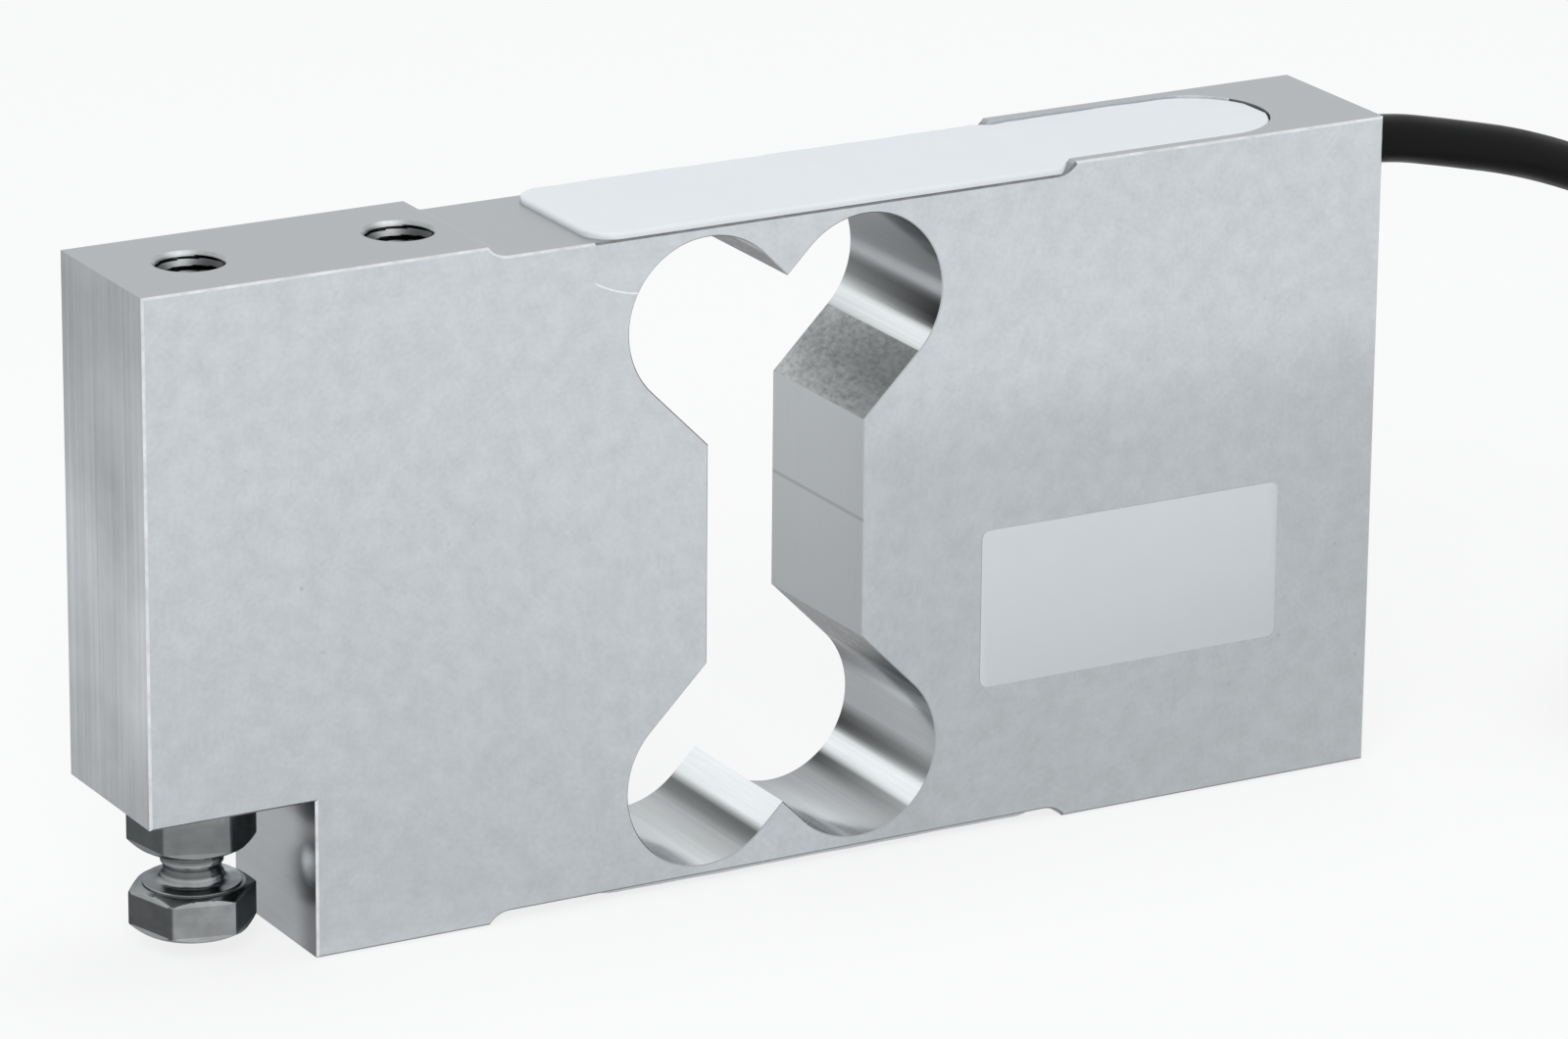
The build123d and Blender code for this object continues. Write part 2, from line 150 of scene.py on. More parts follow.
# %% Make the cable as a smooth curve
def show(data, name):
    """Links an object for this mesh or curve and lets it ride on the part's one body."""
    piece = bpy.data.objects.new(name, data)
    bpy.context.scene.collection.objects.link(piece)
    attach(piece, "root")
    print("piece:", name)
    return piece


def dress(piece, *looks):
    """Gives a piece these finishes, instead of any that it has."""
    piece.data.materials.clear()
    for look in looks:
        piece.data.materials.append(look)


def nurbs_cord(name, points, diameter, rings=5):
    """A smooth open cord: a quadratic NURBS spline, which runs through the middle of each side of its
    polygon. Each point's radius is half the diameter, and a bevel of one metre is scaled by it, so that
    the curve's box is the cord's own."""
    curve = bpy.data.curves.new(name, "CURVE")
    curve.dimensions = "3D"
    spline = curve.splines.new("NURBS")
    spline.points.add(len(points) - 1)
    places = np.column_stack([np.asarray(points) * mm, np.ones(len(points))])
    spline.points.foreach_set("co", places.ravel())
    spline.points.foreach_set("radius", np.full(len(points), diameter / 2 * mm))
    spline.order_u = 3
    spline.use_endpoint_u = True
    spline.resolution_u = 8
    curve.bevel_depth = 1.0
    curve.bevel_resolution = rings
    curve.use_fill_caps = True
    return show(curve, name)


cable = nurbs_cord("signal_cable", route, cable_d)
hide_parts("cable_lead", "cable_hank", "cable_tail")

# %% [markdown]
# ## Surfaces from arrays
# Most pieces here are turned, milled or moulded, so each is one or two surfaces over a grid of two
# parameters. The grid could be built point by point, but numpy works out all points of a surface in one
# expression, and from_pydata puts them into the mesh.

# %% Helpers that turn grids into meshes
def grid_faces(rows, columns, closed_columns=False, start=0):
    """Corner numbers of the four-sided faces between neighbouring points of a rows by columns grid."""
    last_column = columns if closed_columns else columns - 1
    i, j = np.meshgrid(np.arange(rows - 1), np.arange(last_column), indexing="ij")
    row, next_row, next_j = i * columns, (i + 1) * columns, (j + 1) % columns
    corners = [row + j, row + next_j, next_row + next_j, next_row + j]
    return (np.stack(corners, axis=-1).reshape(-1, 4) + start).tolist()


def piece_from(name, points, faces, smooth_angle=35.0):
    """A mesh piece from points in millimetres, smooth where faces meet at less than the angle."""
    mesh = bpy.data.meshes.new(name)
    mesh.from_pydata((np.asarray(points, float) * mm).tolist(), [], faces)
    mesh.validate()
    mesh.shade_smooth()
    mesh.set_sharp_from_angle(angle=math.radians(smooth_angle))
    return show(mesh, name)


def ring_grid(radii, heights, sides, first_angle=0.0):
    """Points of a turned surface: radii may be one value per height or a heights by sides table."""
    angles = np.radians(first_angle) + np.linspace(0, 2 * np.pi, sides, endpoint=False)
    radii = np.broadcast_to(np.asarray(radii, float).reshape(len(heights), -1), (len(heights), sides))
    x = radii * np.cos(angles)
    y = radii * np.sin(angles)
    z = np.broadcast_to(np.asarray(heights, float)[:, None], radii.shape)
    return np.stack([x, y, z], axis=-1)


def capped(grid, start=0):
    """Faces of a closed tube of rings, from the lowest ring to the highest, with a flat cap on each end."""
    rows, sides = grid.shape[:2]
    faces = grid_faces(rows, sides, closed_columns=True, start=start)
    first = list(range(start, start + sides))
    last = list(range(start + (rows - 1) * sides, start + rows * sides))
    return faces + [first[::-1], last]


turned_sides = 144


def turned_piece(name, radii, heights, place, first_angle):
    """A solid of revolution about an upright axis through place, with flat caps."""
    grid = ring_grid(radii, heights, turned_sides, first_angle)
    return piece_from(name, grid.reshape(-1, 3) + np.asarray(place), capped(grid))


# %% [markdown]
# ## The beam's outline
# The beam is sawn and milled from plate, so its shape is a side view carried through the thickness. The
# outer line has a notch below the load end and a shallow step over the webs, and the opening's line is
# the path of a 19 mm cutter: up a slot and out along four slanted arms. Both are worked out exactly.

# %% Draw the outer line and the opening
half_length, half_thickness, height = 75.0, 10.0, 75.0
notch_x, notch_z = -56.0, 17.5
step_half, step_depth, step_r, coat_start = 35.5, 1.2, 3.0, -23.0
step_flat = step_half - math.sqrt(step_r**2 - (step_r - step_depth) ** 2)
cutter_r, lobe_x, lobe_z = 9.5, 9.5, 25.7
cusp_rise = lobe_z - lobe_x + cutter_r * math.sqrt(2)


def arc(centre, radius, first, last, count):
    """Points on part of a circle, from one angle to the other, in degrees."""
    angles = np.radians(np.linspace(first, last, count))
    return np.column_stack([centre[0] + radius * np.cos(angles), centre[1] + radius * np.sin(angles)])


def outer_line():
    """X and Z once round the block, anticlockwise seen from the front."""
    tilt = math.degrees(math.asin((step_r - step_depth) / step_r))
    low = step_depth - step_r
    high = height - step_depth + step_r
    return np.vstack(
        [
            [(notch_x, 0.0)],
            arc((-step_flat, low), step_r, 180.0 - tilt, 90.0, 10),
            arc((step_flat, low), step_r, 90.0, tilt, 10),
            [(half_length, 0.0), (half_length, height)],
            arc((step_flat, high), step_r, -tilt, -90.0, 10),
            [(coat_start, height - step_depth)],
            arc((-step_flat, high), step_r, -90.0, tilt - 180.0, 10),
            [(-half_length, height), (-half_length, notch_z), (notch_x, notch_z)],
        ]
    )


def opening_line():
    """X and Z once round the opening. A quarter of it is the slot's side, a slanted side and the lobe's
    arc down to the cusp in the middle. The other quarters mirror it."""
    lobe = arc((lobe_x, lobe_z), cutter_r, -45.0, 135.0, 73)
    corner_z = lobe[0, 1] - (lobe[0, 0] - cutter_r)
    slanted = np.linspace((cutter_r, corner_z), lobe[0], 7)[:-1]
    quarter = np.vstack([slanted, lobe])
    to_cusp = np.linspace(lobe[-1], (0.0, cusp_rise), 7)[1:]
    left_top = np.vstack([to_cusp[-2::-1], quarter[::-1]]) * (-1, 1)
    top = np.vstack([quarter, to_cusp, left_top])
    return np.vstack([top, -top]) + (0.0, height / 2)


outside, inside = outer_line(), opening_line()
print("outline points:", len(outside), "opening points:", len(inside))
print("thinnest web, mm:", round(float(height - step_depth - inside[:, 1].max()), 3))


# %% [markdown]
# ## The beam's mesh
# Two flat faces with a hole, and walls between them with a small broken edge, make the milled blank.
# The faces could be filled by Blender's own tools, but tessellate_polygon does it from the two lines.

# %% Carry the outline through the thickness
def offset_line(line, distance):
    """Moves each corner of a closed line inwards along the bisector of its two sides."""
    before = line - np.roll(line, 1, axis=0)
    after = np.roll(line, -1, axis=0) - line
    normals = []
    for side in (before, after):
        unit = side / np.linalg.norm(side, axis=1, keepdims=True)
        normals.append(np.column_stack([-unit[:, 1], unit[:, 0]]))
    bisector = normals[0] + normals[1]
    bisector /= np.sum(bisector * normals[0], axis=1, keepdims=True)
    return line + distance * bisector


def upright(line, depth):
    """Puts a side-view line at a depth Y."""
    return np.column_stack([line[:, 0], np.full(len(line), depth), line[:, 1]])


def wall_rings(line, broken, levels):
    """The line at each level between the two faces, and moved by its broken edge at the faces."""
    at_face = offset_line(line, broken)
    between = [upright(line, level) for level in levels]
    return np.stack([upright(at_face, -half_thickness), *between, upright(at_face, half_thickness)])


edge_break, opening_break = 0.25, 0.12
outer_y, inner_y = half_thickness - edge_break, half_thickness - opening_break
inner_levels = np.r_[-inner_y, -8.5, np.linspace(-7.0, 7.0, 8), 8.5, inner_y]
outer_grid = wall_rings(outside, edge_break, (-outer_y, outer_y))
inner_grid = wall_rings(inside, -opening_break, inner_levels)
blank_points = np.vstack([outer_grid.reshape(-1, 3), inner_grid.reshape(-1, 3)])
(outer_rows, outer_count), (inner_rows, inner_count) = outer_grid.shape[:2], inner_grid.shape[:2]
inner_start = outer_rows * outer_count
blank_faces = [face[::-1] for face in grid_faces(outer_rows, outer_count, closed_columns=True)]
blank_faces += grid_faces(inner_rows, inner_count, closed_columns=True, start=inner_start)
front_numbers = np.r_[np.arange(outer_count), inner_start + np.arange(inner_count)]
to_back = (outer_rows - 1) * outer_count, (inner_rows - 1) * inner_count
back_numbers = front_numbers + np.repeat(to_back, (outer_count, inner_count))
front_loops = [[Vector(p) for p in grid[0]] for grid in (outer_grid, inner_grid)]
for triangle in tessellate_polygon(front_loops):
    a, b, c = (blank_points[front_numbers[k]] for k in triangle)
    faces_front = np.cross(b - a, c - a)[1] < 0
    ordered = triangle if faces_front else triangle[::-1]
    blank_faces.append([int(front_numbers[k]) for k in ordered])
    blank_faces.append([int(back_numbers[k]) for k in ordered[::-1]])
beam = piece_from("beam", blank_points, blank_faces, 25.0)
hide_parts("load_cell_body")
print("blank:", len(beam.data.polygons), "faces")

# %% [markdown]
# ## Tapped holes, pocket and bore
# A thread could be faked with bump, but its crests show at the mouth of each hole. So every hole is cut
# with a closed tool whose radius rises and falls along a helix, and a boolean takes the tools away.

# %% Make the cutting tools and cut
pitch, thread_root_r, thread_tip_r, mouth_r = 1.25, 3.4, 3.82, 4.0
threaded, hole_depth, stop_hole_depth, hole_reach = 11.0, 20.0, 15.0, 25.0
drill_point, point_r = 2.0, 0.02
stop_x = -65.7
hole_places = [
    (-65.0, height, -1),
    (-41.0, height, -1),
    (65.0, 0.0, 1),
    (41.0, 0.0, 1),
    (stop_x, notch_z, 1),
]


def thread_tool(x, mouth_z, way, depth):
    """A tap and its drill. The radius is a triangle wave of depth and angle between root and tip, cut
    off a little at both. It is at least the mouth's cone, and it closes on the drill's point."""
    rows = np.r_[-1.0, np.arange(0.0, threaded, pitch / 10), np.linspace(threaded, depth, 4)]
    sides = 64
    turn = np.linspace(0, 1, sides, endpoint=False)
    phase = (rows[:, None] / pitch + way * turn[None, :]) % 1.0
    wave = 1 - np.abs(2 * phase - 1)
    flat = np.clip(1.25 * wave - 0.125, 0, 1)
    fade = np.clip((threaded - rows) / pitch, 0, 1)[:, None]
    radius = thread_root_r + (thread_tip_r - thread_root_r) * flat * fade
    cone = np.clip(mouth_r - np.clip(rows, 0, None), 0.1, None)[:, None]
    radius = np.vstack([np.maximum(radius, cone), np.full((1, sides), point_r)])
    grid = ring_grid(radius, np.r_[rows, depth + drill_point], sides)
    grid[..., 2] *= way
    grid += (x, 0.0, mouth_z)
    faces = capped(grid)
    return grid.reshape(-1, 3), [face[::-1] for face in faces] if way < 0 else faces


def pocket_tool():
    """The wiring pocket: a slot with round ends, from its floor up out of the block."""
    r, x0, x1, floor_z, above_z = 8.5, 27.0, 65.0, 66.6, 80.0
    line = np.vstack([arc((x1 - r, 0), r, -90, 90, 40), arc((x0 + r, 0), r, 90, 270, 40)])
    grid = np.stack([np.column_stack([line, np.full(len(line), z)]) for z in (floor_z, above_z)])
    return grid.reshape(-1, 3), capped(grid)


def bore_tool():
    """The cable's bore along X, from the pocket out through the end face, where it opens a little."""
    radii, places = (2.8, 2.8, 2.95, 3.3), (56.5, 74.65, 74.9, 76.0)
    grid = ring_grid(radii, places, 48)[..., [2, 0, 1]] + (0.0, 0.0, exit_z)
    return grid.reshape(-1, 3), capped(grid)


def passage_tool():
    """The drilled wire passage, from the bottom face up into the pocket."""
    x, r, low_z, high_z = 30.5, 1.5, -1.0, 70.0
    grid = ring_grid((r, r), (low_z, high_z), 32) + (x, 0.0, 0.0)
    return grid.reshape(-1, 3), capped(grid)


def joined(parts):
    """Several point and face lists as one."""
    points, faces = [], []
    for some_points, some_faces in parts:
        start = sum(len(p) for p in points)
        points.append(some_points)
        faces += [[int(k) + start for k in face] for face in some_faces]
    return np.vstack(points), faces


def cut_away(piece, tools):
    """Subtracts each closed tool from the piece with an exact boolean, and keeps the result's mesh."""
    for points, faces in tools:
        mesh = bpy.data.meshes.new("tool")
        mesh.from_pydata((points * mm).tolist(), [], faces)
        tool = bpy.data.objects.new("tool", mesh)
        bpy.context.scene.collection.objects.link(tool)
        modifier = piece.modifiers.new("cut", "BOOLEAN")
        modifier.operation, modifier.solver, modifier.object = "DIFFERENCE", "EXACT", tool
        bpy.context.view_layer.update()
        ready = piece.evaluated_get(bpy.context.evaluated_depsgraph_get())
        result = bpy.data.meshes.new_from_object(ready)
        piece.modifiers.clear()
        piece.data = result
        bpy.data.objects.remove(tool)


taps = [
    thread_tool(x, z, way, stop_hole_depth if x == stop_x else hole_depth) for x, z, way in hole_places
]
cut_away(beam, [joined(taps + [pocket_tool()]), joined([bore_tool(), passage_tool()])])
beam.data.shade_smooth()
beam.data.set_sharp_from_angle(angle=math.radians(28))
print("beam:", len(beam.data.polygons), "faces")

# %% [markdown]
# ## Finishes
# Every finish is made of nodes: noise stretched along the way that the tool moved gives lines, fine
# noise gives grain, and both drive colour, roughness and bump. Image textures would be quicker, but they
# repeat, and they don't follow a surface of any size.

# %% Helpers for nodes
def math_node(nodes, links, operation, first, second=0.0):
    """One Math node. Each of its two values is a number or a socket."""
    node = nodes.new("ShaderNodeMath")
    node.operation = operation
    for socket, value in zip(node.inputs, (first, second)):
        if isinstance(value, float):
            socket.default_value = value
        else:
            links.new(value, socket)
    return node.outputs[0]


def multiplied(nodes, links, colour, factor):
    """A colour times another colour or a number."""
    mix = nodes.new("ShaderNodeMix")
    mix.data_type, mix.blend_type = "RGBA", "MULTIPLY"
    mix.inputs["Factor"].default_value = 1.0
    links.new(colour, mix.inputs[6])
    links.new(factor, mix.inputs[7])
    return mix.outputs[2]


def ranged(nodes, links, value, low, high, at_low, at_high, ease="LINEAR"):
    """A number that goes from at_low to at_high while the value goes from low to high."""
    ramp = nodes.new("ShaderNodeMapRange")
    ramp.interpolation_type = ease
    links.new(value, ramp.inputs["Value"])
    for name, number in (("From Min", low), ("From Max", high), ("To Min", at_low), ("To Max", at_high)):
        ramp.inputs[name].default_value = number
    return ramp.outputs["Result"]


# %% A helper that builds a finish
def finish(name, colour, roughness, metallic=0.0, dark=0.85, grain=400, lines=None, line_strength=0.3,
           rough_swing=0.08, bump=0.02, cloud=None, specular=0.5, tint=(1, 1, 1), tone=None, pits=False):
    """A shader whose colour moves between colour and dark times colour. Object coordinates are scaled by
    grain for the fine noise, and by lines for the tool marks. cloud is the scale of wide soft patches,
    tint colours the gloss at a flat angle, tone names a number on the face corners that the colour is
    multiplied by, and pits adds small dark specks."""
    material = bpy.data.materials.new(name)
    material.use_nodes = True
    nodes, links = material.node_tree.nodes, material.node_tree.links
    shader = nodes["Principled BSDF"]
    shader.inputs["Metallic"].default_value = metallic
    shader.inputs["Specular IOR Level"].default_value = specular
    shader.inputs["Specular Tint"].default_value = (*tint, 1)
    places = nodes.new("ShaderNodeTexCoord").outputs["Object"]

    def noise(scale, detail=3.0, gain=0.6):
        mapping = nodes.new("ShaderNodeMapping")
        mapping.inputs["Scale"].default_value = scale if isinstance(scale, tuple) else (scale,) * 3
        texture = nodes.new("ShaderNodeTexNoise")
        for socket, number in (("Scale", 1.0), ("Detail", detail), ("Roughness", gain)):
            texture.inputs[socket].default_value = number
        links.new(places, mapping.inputs["Vector"])
        links.new(mapping.outputs["Vector"], texture.inputs["Vector"])
        return texture.outputs["Fac"]

    def blend_of(a, b, share):
        mix = nodes.new("ShaderNodeMix")
        mix.inputs["Factor"].default_value = share
        links.new(a, mix.inputs["A"])
        links.new(b, mix.inputs["B"])
        return mix.outputs["Result"]

    value = noise(grain)
    if lines is not None:
        value = blend_of(value, noise(lines, 4.0, 0.7), line_strength)
    fine = value
    if cloud is not None:
        value = blend_of(value, noise(cloud, 2.0, 0.5), 0.5)
    ramp = nodes.new("ShaderNodeValToRGB")
    for stop, position, share in zip(ramp.color_ramp.elements, (0.3, 0.7), (dark, 1.0)):
        stop.position = position
        stop.color = (*[share * c for c in colour], 1)
    links.new(value, ramp.inputs["Fac"])
    paint = ramp.outputs["Color"]
    if tone is not None:
        numbers = nodes.new("ShaderNodeAttribute")
        numbers.attribute_name = tone
        paint = multiplied(nodes, links, paint, numbers.outputs["Color"])
    if pits:
        cells = nodes.new("ShaderNodeTexVoronoi")
        cells.inputs["Scale"].default_value = 150.0
        links.new(places, cells.inputs["Vector"])
        specks = ranged(nodes, links, cells.outputs["Distance"], 0.015, 0.045, 0.85, 1.0)
        paint = multiplied(nodes, links, paint, specks)
    links.new(paint, shader.inputs["Base Color"])
    smoothest, roughest = max(roughness - rough_swing, 0.02), roughness + rough_swing
    links.new(ranged(nodes, links, value, 0.3, 0.7, smoothest, roughest), shader.inputs["Roughness"])
    relief = nodes.new("ShaderNodeBump")
    relief.inputs["Strength"].default_value = 1.0
    relief.inputs["Distance"].default_value = bump * mm
    links.new(fine, relief.inputs["Height"])
    links.new(relief.outputs["Normal"], shader.inputs["Normal"])
    return material


# %% Aluminium, as each tool left it
cool, wall_tint = (0.940, 0.985, 1.0), (0.74, 0.75, 0.76)
ground = finish("ground_face", (0.685, 0.726, 0.752), 0.42, 0.9, 0.82, 1700, rough_swing=0.05, bump=0.012,
                cloud=430, pits=True)
sawn = finish("sawn_end", (0.68, 0.706, 0.728), 0.38, 0.95, 0.44, 700, (1100, 1500, 14), 0.85,
              rough_swing=0.10, bump=0.030, cloud=60)
planed = finish("planed_top", (0.425, 0.445, 0.46), 0.36, 0.95, 0.88, 800, (40, 1600, 40), 0.5,
                rough_swing=0.06, bump=0.010, cloud=60)
bored = finish("bored_wall", cool, 0.20, 1.0, 0.80, (900, 60, 900), (1900, 20, 1900), 0.6, bump=0.010,
               tint=wall_tint, tone="painted_wall_tone")
milled = finish("milled_arm", cool, 0.28, 1.0, 0.42, (1500, 1100, 1500), (2600, 500, 2600), 0.4,
                bump=0.012, tint=wall_tint, tone="painted_wall_tone")
slotted = finish("milled_slot", cool, 0.30, 1.0, 0.92, (900, 900, 200), (1100, 1100, 60), 0.5,
                 rough_swing=0.05, bump=0.008, cloud=120, tint=wall_tint, tone="painted_wall_tone")
tapped = finish("tapped_hole", cool, 0.18, 1.0, 0.85, 900, tone="painted_wall_tone")
# The broken edges' light colour is a painted highlight, and the dark one below is painted shade.
edge_highlight = finish("broken_edge_highlight", (0.86, 0.88, 0.90), 0.34, 1.0, 0.72, 500)
shaded_edge = finish("shaded_edge", (0.30, 0.31, 0.32), 0.40, 1.0, 0.60, 500)
step_wall = finish("notch_wall", (0.36, 0.375, 0.39), 0.25, 1.0, 0.85, (900, 60, 900), (1600, 40, 1600),
                   0.4, rough_swing=0.05, bump=0.010)
beam_looks = [ground, sawn, planed, bored, tapped, edge_highlight, milled, slotted, step_wall, shaded_edge]
dress(beam, *beam_looks)
number_of = {look.name: place for place, look in enumerate(beam_looks)}
print("finishes of the beam:", ", ".join(number_of))


# %% Shade some of them by place
def shade_by(material, measure, low, high, at_low, at_high):
    """Multiplies the finish's colour by a number that goes smoothly from at_low to at_high while the
    measure, a socket that measure(x, y, z, calculate) makes from the piece's own coordinates in metres,
    goes from low to high."""
    nodes, links = material.node_tree.nodes, material.node_tree.links
    parts = nodes.new("ShaderNodeSeparateXYZ")
    links.new(nodes.new("ShaderNodeTexCoord").outputs["Object"], parts.inputs[0])

    def calculate(operation, first, second=0.0):
        return math_node(nodes, links, operation, first, second)

    measured = measure(*parts.outputs, calculate)
    share = ranged(nodes, links, measured, low, high, at_low, at_high, "SMOOTHSTEP")
    colour = nodes["Principled BSDF"].inputs["Base Color"]
    links.new(multiplied(nodes, links, colour.links[0].from_socket, share), colour)


def depth_itself(x, y, z, calculate):
    """Y, from the front to the back."""
    return y


def height_itself(x, y, z, calculate):
    """Z, from the foot up."""
    return z


def off_level(level):
    """A measure: the distance above or below one level."""
    return lambda x, y, z, calculate: calculate("ABSOLUTE", calculate("SUBTRACT", z, level))


def off_point(calculate, first, second, at_first, at_second):
    """Distance from a point of a plane: the root of two squares."""
    across, up = calculate("SUBTRACT", first, at_first), calculate("SUBTRACT", second, at_second)
    squares = calculate("ADD", calculate("MULTIPLY", across, across), calculate("MULTIPLY", up, up))
    return calculate("SQRT", squares)


def lower_right(x, y, z, calculate):
    """Large where both X is past the opening and Z is in the lower half: the smaller of two rises."""
    return calculate("MINIMUM", calculate("SUBTRACT", x, 0.002), calculate("SUBTRACT", 0.055, z))


def off_scratch(x, y, z, calculate):
    """Distance from a scratch on the front, which is part of a circle beside the upper left lobe."""
    off_centre = off_point(calculate, x, z, -0.0162, 0.0811)
    ring = calculate("ABSOLUTE", calculate("SUBTRACT", off_centre, 0.01355))
    along = calculate("SUBTRACT", calculate("ABSOLUTE", calculate("SUBTRACT", x, -0.0204)), 0.0025)
    elsewhere = calculate("MAXIMUM", y, calculate("SUBTRACT", 0.06, z))
    return calculate("MAXIMUM", calculate("MAXIMUM", ring, along), elsewhere)


def off_painted_spot(x, y, z, calculate):
    """Distance from a painted reflection: a bright spot on the notch's wall, near its front edge."""
    return off_point(calculate, y, z, -0.0086, 0.0098)


shades = [
    # painted shade: the front face is darker towards its foot and in its lower right
    (ground, height_itself, 0.0, 0.070, 0.88, 1.03),  # a little darker towards the foot
    (ground, lower_right, 0.0, 0.012, 1.0, 0.86),
    (ground, off_scratch, 0.00006, 0.00014, 1.35, 1.0),
    (sawn, height_itself, 0.040, 0.072, 1.0, 0.72),  # darker at the top
    (sawn, height_itself, 0.012, 0.034, 0.80, 1.0),  # and near the foot
    (slotted, off_level(0.0384), 0.0001, 0.0003, 0.78, 1.0),  # a line where two cuts meet
    # painted reflections on the notch's wall: a dark column at its front edge, shade under its ceiling, a
    # bright spot
    (step_wall, depth_itself, -0.0092, -0.0040, 0.40, 1.0),  # a dark column at the notch's front edge
    (step_wall, height_itself, 0.0135, 0.0172, 1.0, 0.60),  # darker under the notch's ceiling
    (step_wall, off_painted_spot, 0.0003, 0.0028, 6.5, 1.0),
    # painted shade along the step's curved rise
    (planed, off_level(0.07435), 0.0002, 0.0005, 0.72, 1.0),  # halfway up the step's curved rise
]
for shade in shades:
    shade_by(*shade)
print("shades by place:", len(shades))

# %% Tell the faces which finish they have
lower_cusp_z = height / 2 - cusp_rise


def beam_finishes(mesh):
    """Which finish each face has: by its normal, by whether it lies in the opening or in a hole."""
    centre, normal = np.empty(len(mesh.polygons) * 3), np.empty(len(mesh.polygons) * 3)
    mesh.polygons.foreach_get("center", centre)
    mesh.polygons.foreach_get("normal", normal)
    x, y, z = centre.reshape(-1, 3).T / mm
    upward = normal.reshape(-1, 3)[:, 2]
    side_x, side_y, side_z = np.abs(normal.reshape(-1, 3)).T
    chosen = np.full(len(x), number_of["notch_wall"])
    in_opening = np.abs(x) < lobe_x + cutter_r + 0.2
    slanted = in_opening & (np.abs(side_x - side_z) < 0.004)
    at_left_cusp = (x < 0) & (np.hypot(x, z - lower_cusp_z) < 4.0)
    chosen[in_opening] = number_of["bored_wall"]
    chosen[slanted & ~at_left_cusp] = number_of["milled_arm"]
    chosen[in_opening & (side_x > 0.999) & (np.abs(x) < cutter_r + 0.1)] = number_of["milled_slot"]
    chosen[(side_x > 0.95) & (np.abs(x) > half_length - 0.1)] = number_of["sawn_end"]
    chosen[(side_z > 0.5) & ((z > height - 1.5) | (z < 1.5))] = number_of["planed_top"]
    edge = (side_y > 0.5) & (side_y < 0.95)
    under_coat = (x > coat_start) | (upward < 0)
    in_step = (np.abs(x) < step_half) & (side_z > 0.3) & under_coat
    # Broken edges get a painted highlight, and those under the coat or facing down get painted shade.
    chosen[edge] = number_of["broken_edge_highlight"]
    chosen[edge & (in_step | (upward < -0.3))] = number_of["shaded_edge"]
    chosen[edge & in_opening & (np.abs(z - height / 2) < 36.0)] = number_of["milled_slot"]
    chosen[side_y > 0.95] = number_of["ground_face"]
    for hole_x, mouth_z, way in hole_places:
        near = np.hypot(x - hole_x, y) < mouth_r + 0.05
        deep = (z - mouth_z) * way
        chosen[near & (deep > 0.001) & (deep < hole_reach)] = number_of["tapped_hole"]
    return chosen


chosen_finishes = beam_finishes(beam.data)
beam.data.polygons.foreach_set("material_index", chosen_finishes.astype(np.int32))
print("faces by finish:", dict(zip(number_of, np.bincount(chosen_finishes).tolist())))

# %% [markdown]
# ## Painted reflections on the bored walls
# Each lobe's wall carries painted reflections: light and dark bands along the bore that stand in
# for the studio reflected in the metal. Bump can't make a metal dull, so the bands are a number on each
# corner of each face: how much light the metal gives back. It is looked up by the angle round the lobe,
# and fades from a front value to a back value.

# %% Give every face corner its painted light and shade
# Painted reflection bands of each lobe: the angle, the tone at the front and the tone at the back.
upper_right_bands = [
    (-46, 0.60, 0.45), (-42, 0.95, 0.80), (-31, 0.95, 0.95), (-27, 0.06, 0.60), (-20, 0.02, 0.26),
    (-12, 0.04, 0.19), (-8, 0.13, 0.26), (-4, 0.48, 0.48), (1, 0.46, 0.42), (6, 0.20, 0.28),
    (35, 0.15, 0.28), (60, 0.12, 0.24), (135, 0.20, 0.26),
]
lower_right_bands = [
    (-136, 0.95, 0.50), (-105, 1.00, 0.52), (-92, 1.00, 0.50), (-82, 0.70, 0.46), (-64, 0.46, 0.38),
    (-56, 0.38, 0.09), (-50, 0.42, 0.08), (-47, 0.90, 0.50), (-43, 1.00, 0.98), (-33, 1.00, 0.98),
    (-29, 0.45, 0.14), (-24, 0.20, 0.05), (-17, 0.32, 0.12), (-10, 0.50, 0.44), (12, 0.52, 0.46),
    (18, 0.80, 0.34), (23, 0.60, 0.20), (36, 0.40, 0.09), (46, 0.24, 0.08),
]
lower_left_bands = [
    (-136, 0.95, 0.62), (-120, 1.00, 0.62), (-95, 0.95, 0.62), (-80, 0.70, 0.60), (-70, 0.54, 0.54),
    (-62, 0.46, 0.46), (-56, 0.26, 0.24), (-50, 0.16, 0.18), (-46, 0.16, 0.18), (45, 0.40, 0.40),
]
upper_left_bands = [
    (-46, 0.40, 0.40), (20, 0.30, 0.30), (40, 0.09, 0.09), (60, 0.07, 0.07), (136, 0.20, 0.20),
]
lobe_reflection_bands = {
    (1, 1): upper_right_bands,
    (1, -1): lower_right_bands,
    (-1, -1): lower_left_bands,
    (-1, 1): upper_left_bands,
}
# Painted reflections on the slanted arms, lighter towards the back.
arm_reflection_tones = {(1, 1): 0.34, (1, -1): 0.11, (-1, -1): 0.35, (-1, 1): 0.09}
arm_x, arm_shares = (9.5, 12.8, 15.0, 16.2), (1.25, 0.80, 0.85, 1.0)
# Painted shade in the holes by depth, their painted glint, and the painted reflection by the lower left
# cusp.
hole_depths = (0.0, 0.25, 0.45, 1.8, 4.0)
hole_shades = (0.44, 0.42, 0.10, 0.06, 0.03)
hole_glints = (0.45, 0.50, 0.60, 0.35, 0.0)
glint_angle, glint_width = 80.0, 22.0
cusp_reflection_runs, cusp_reflection_tones = (3.2, 4.3), (1.0, 0.18)


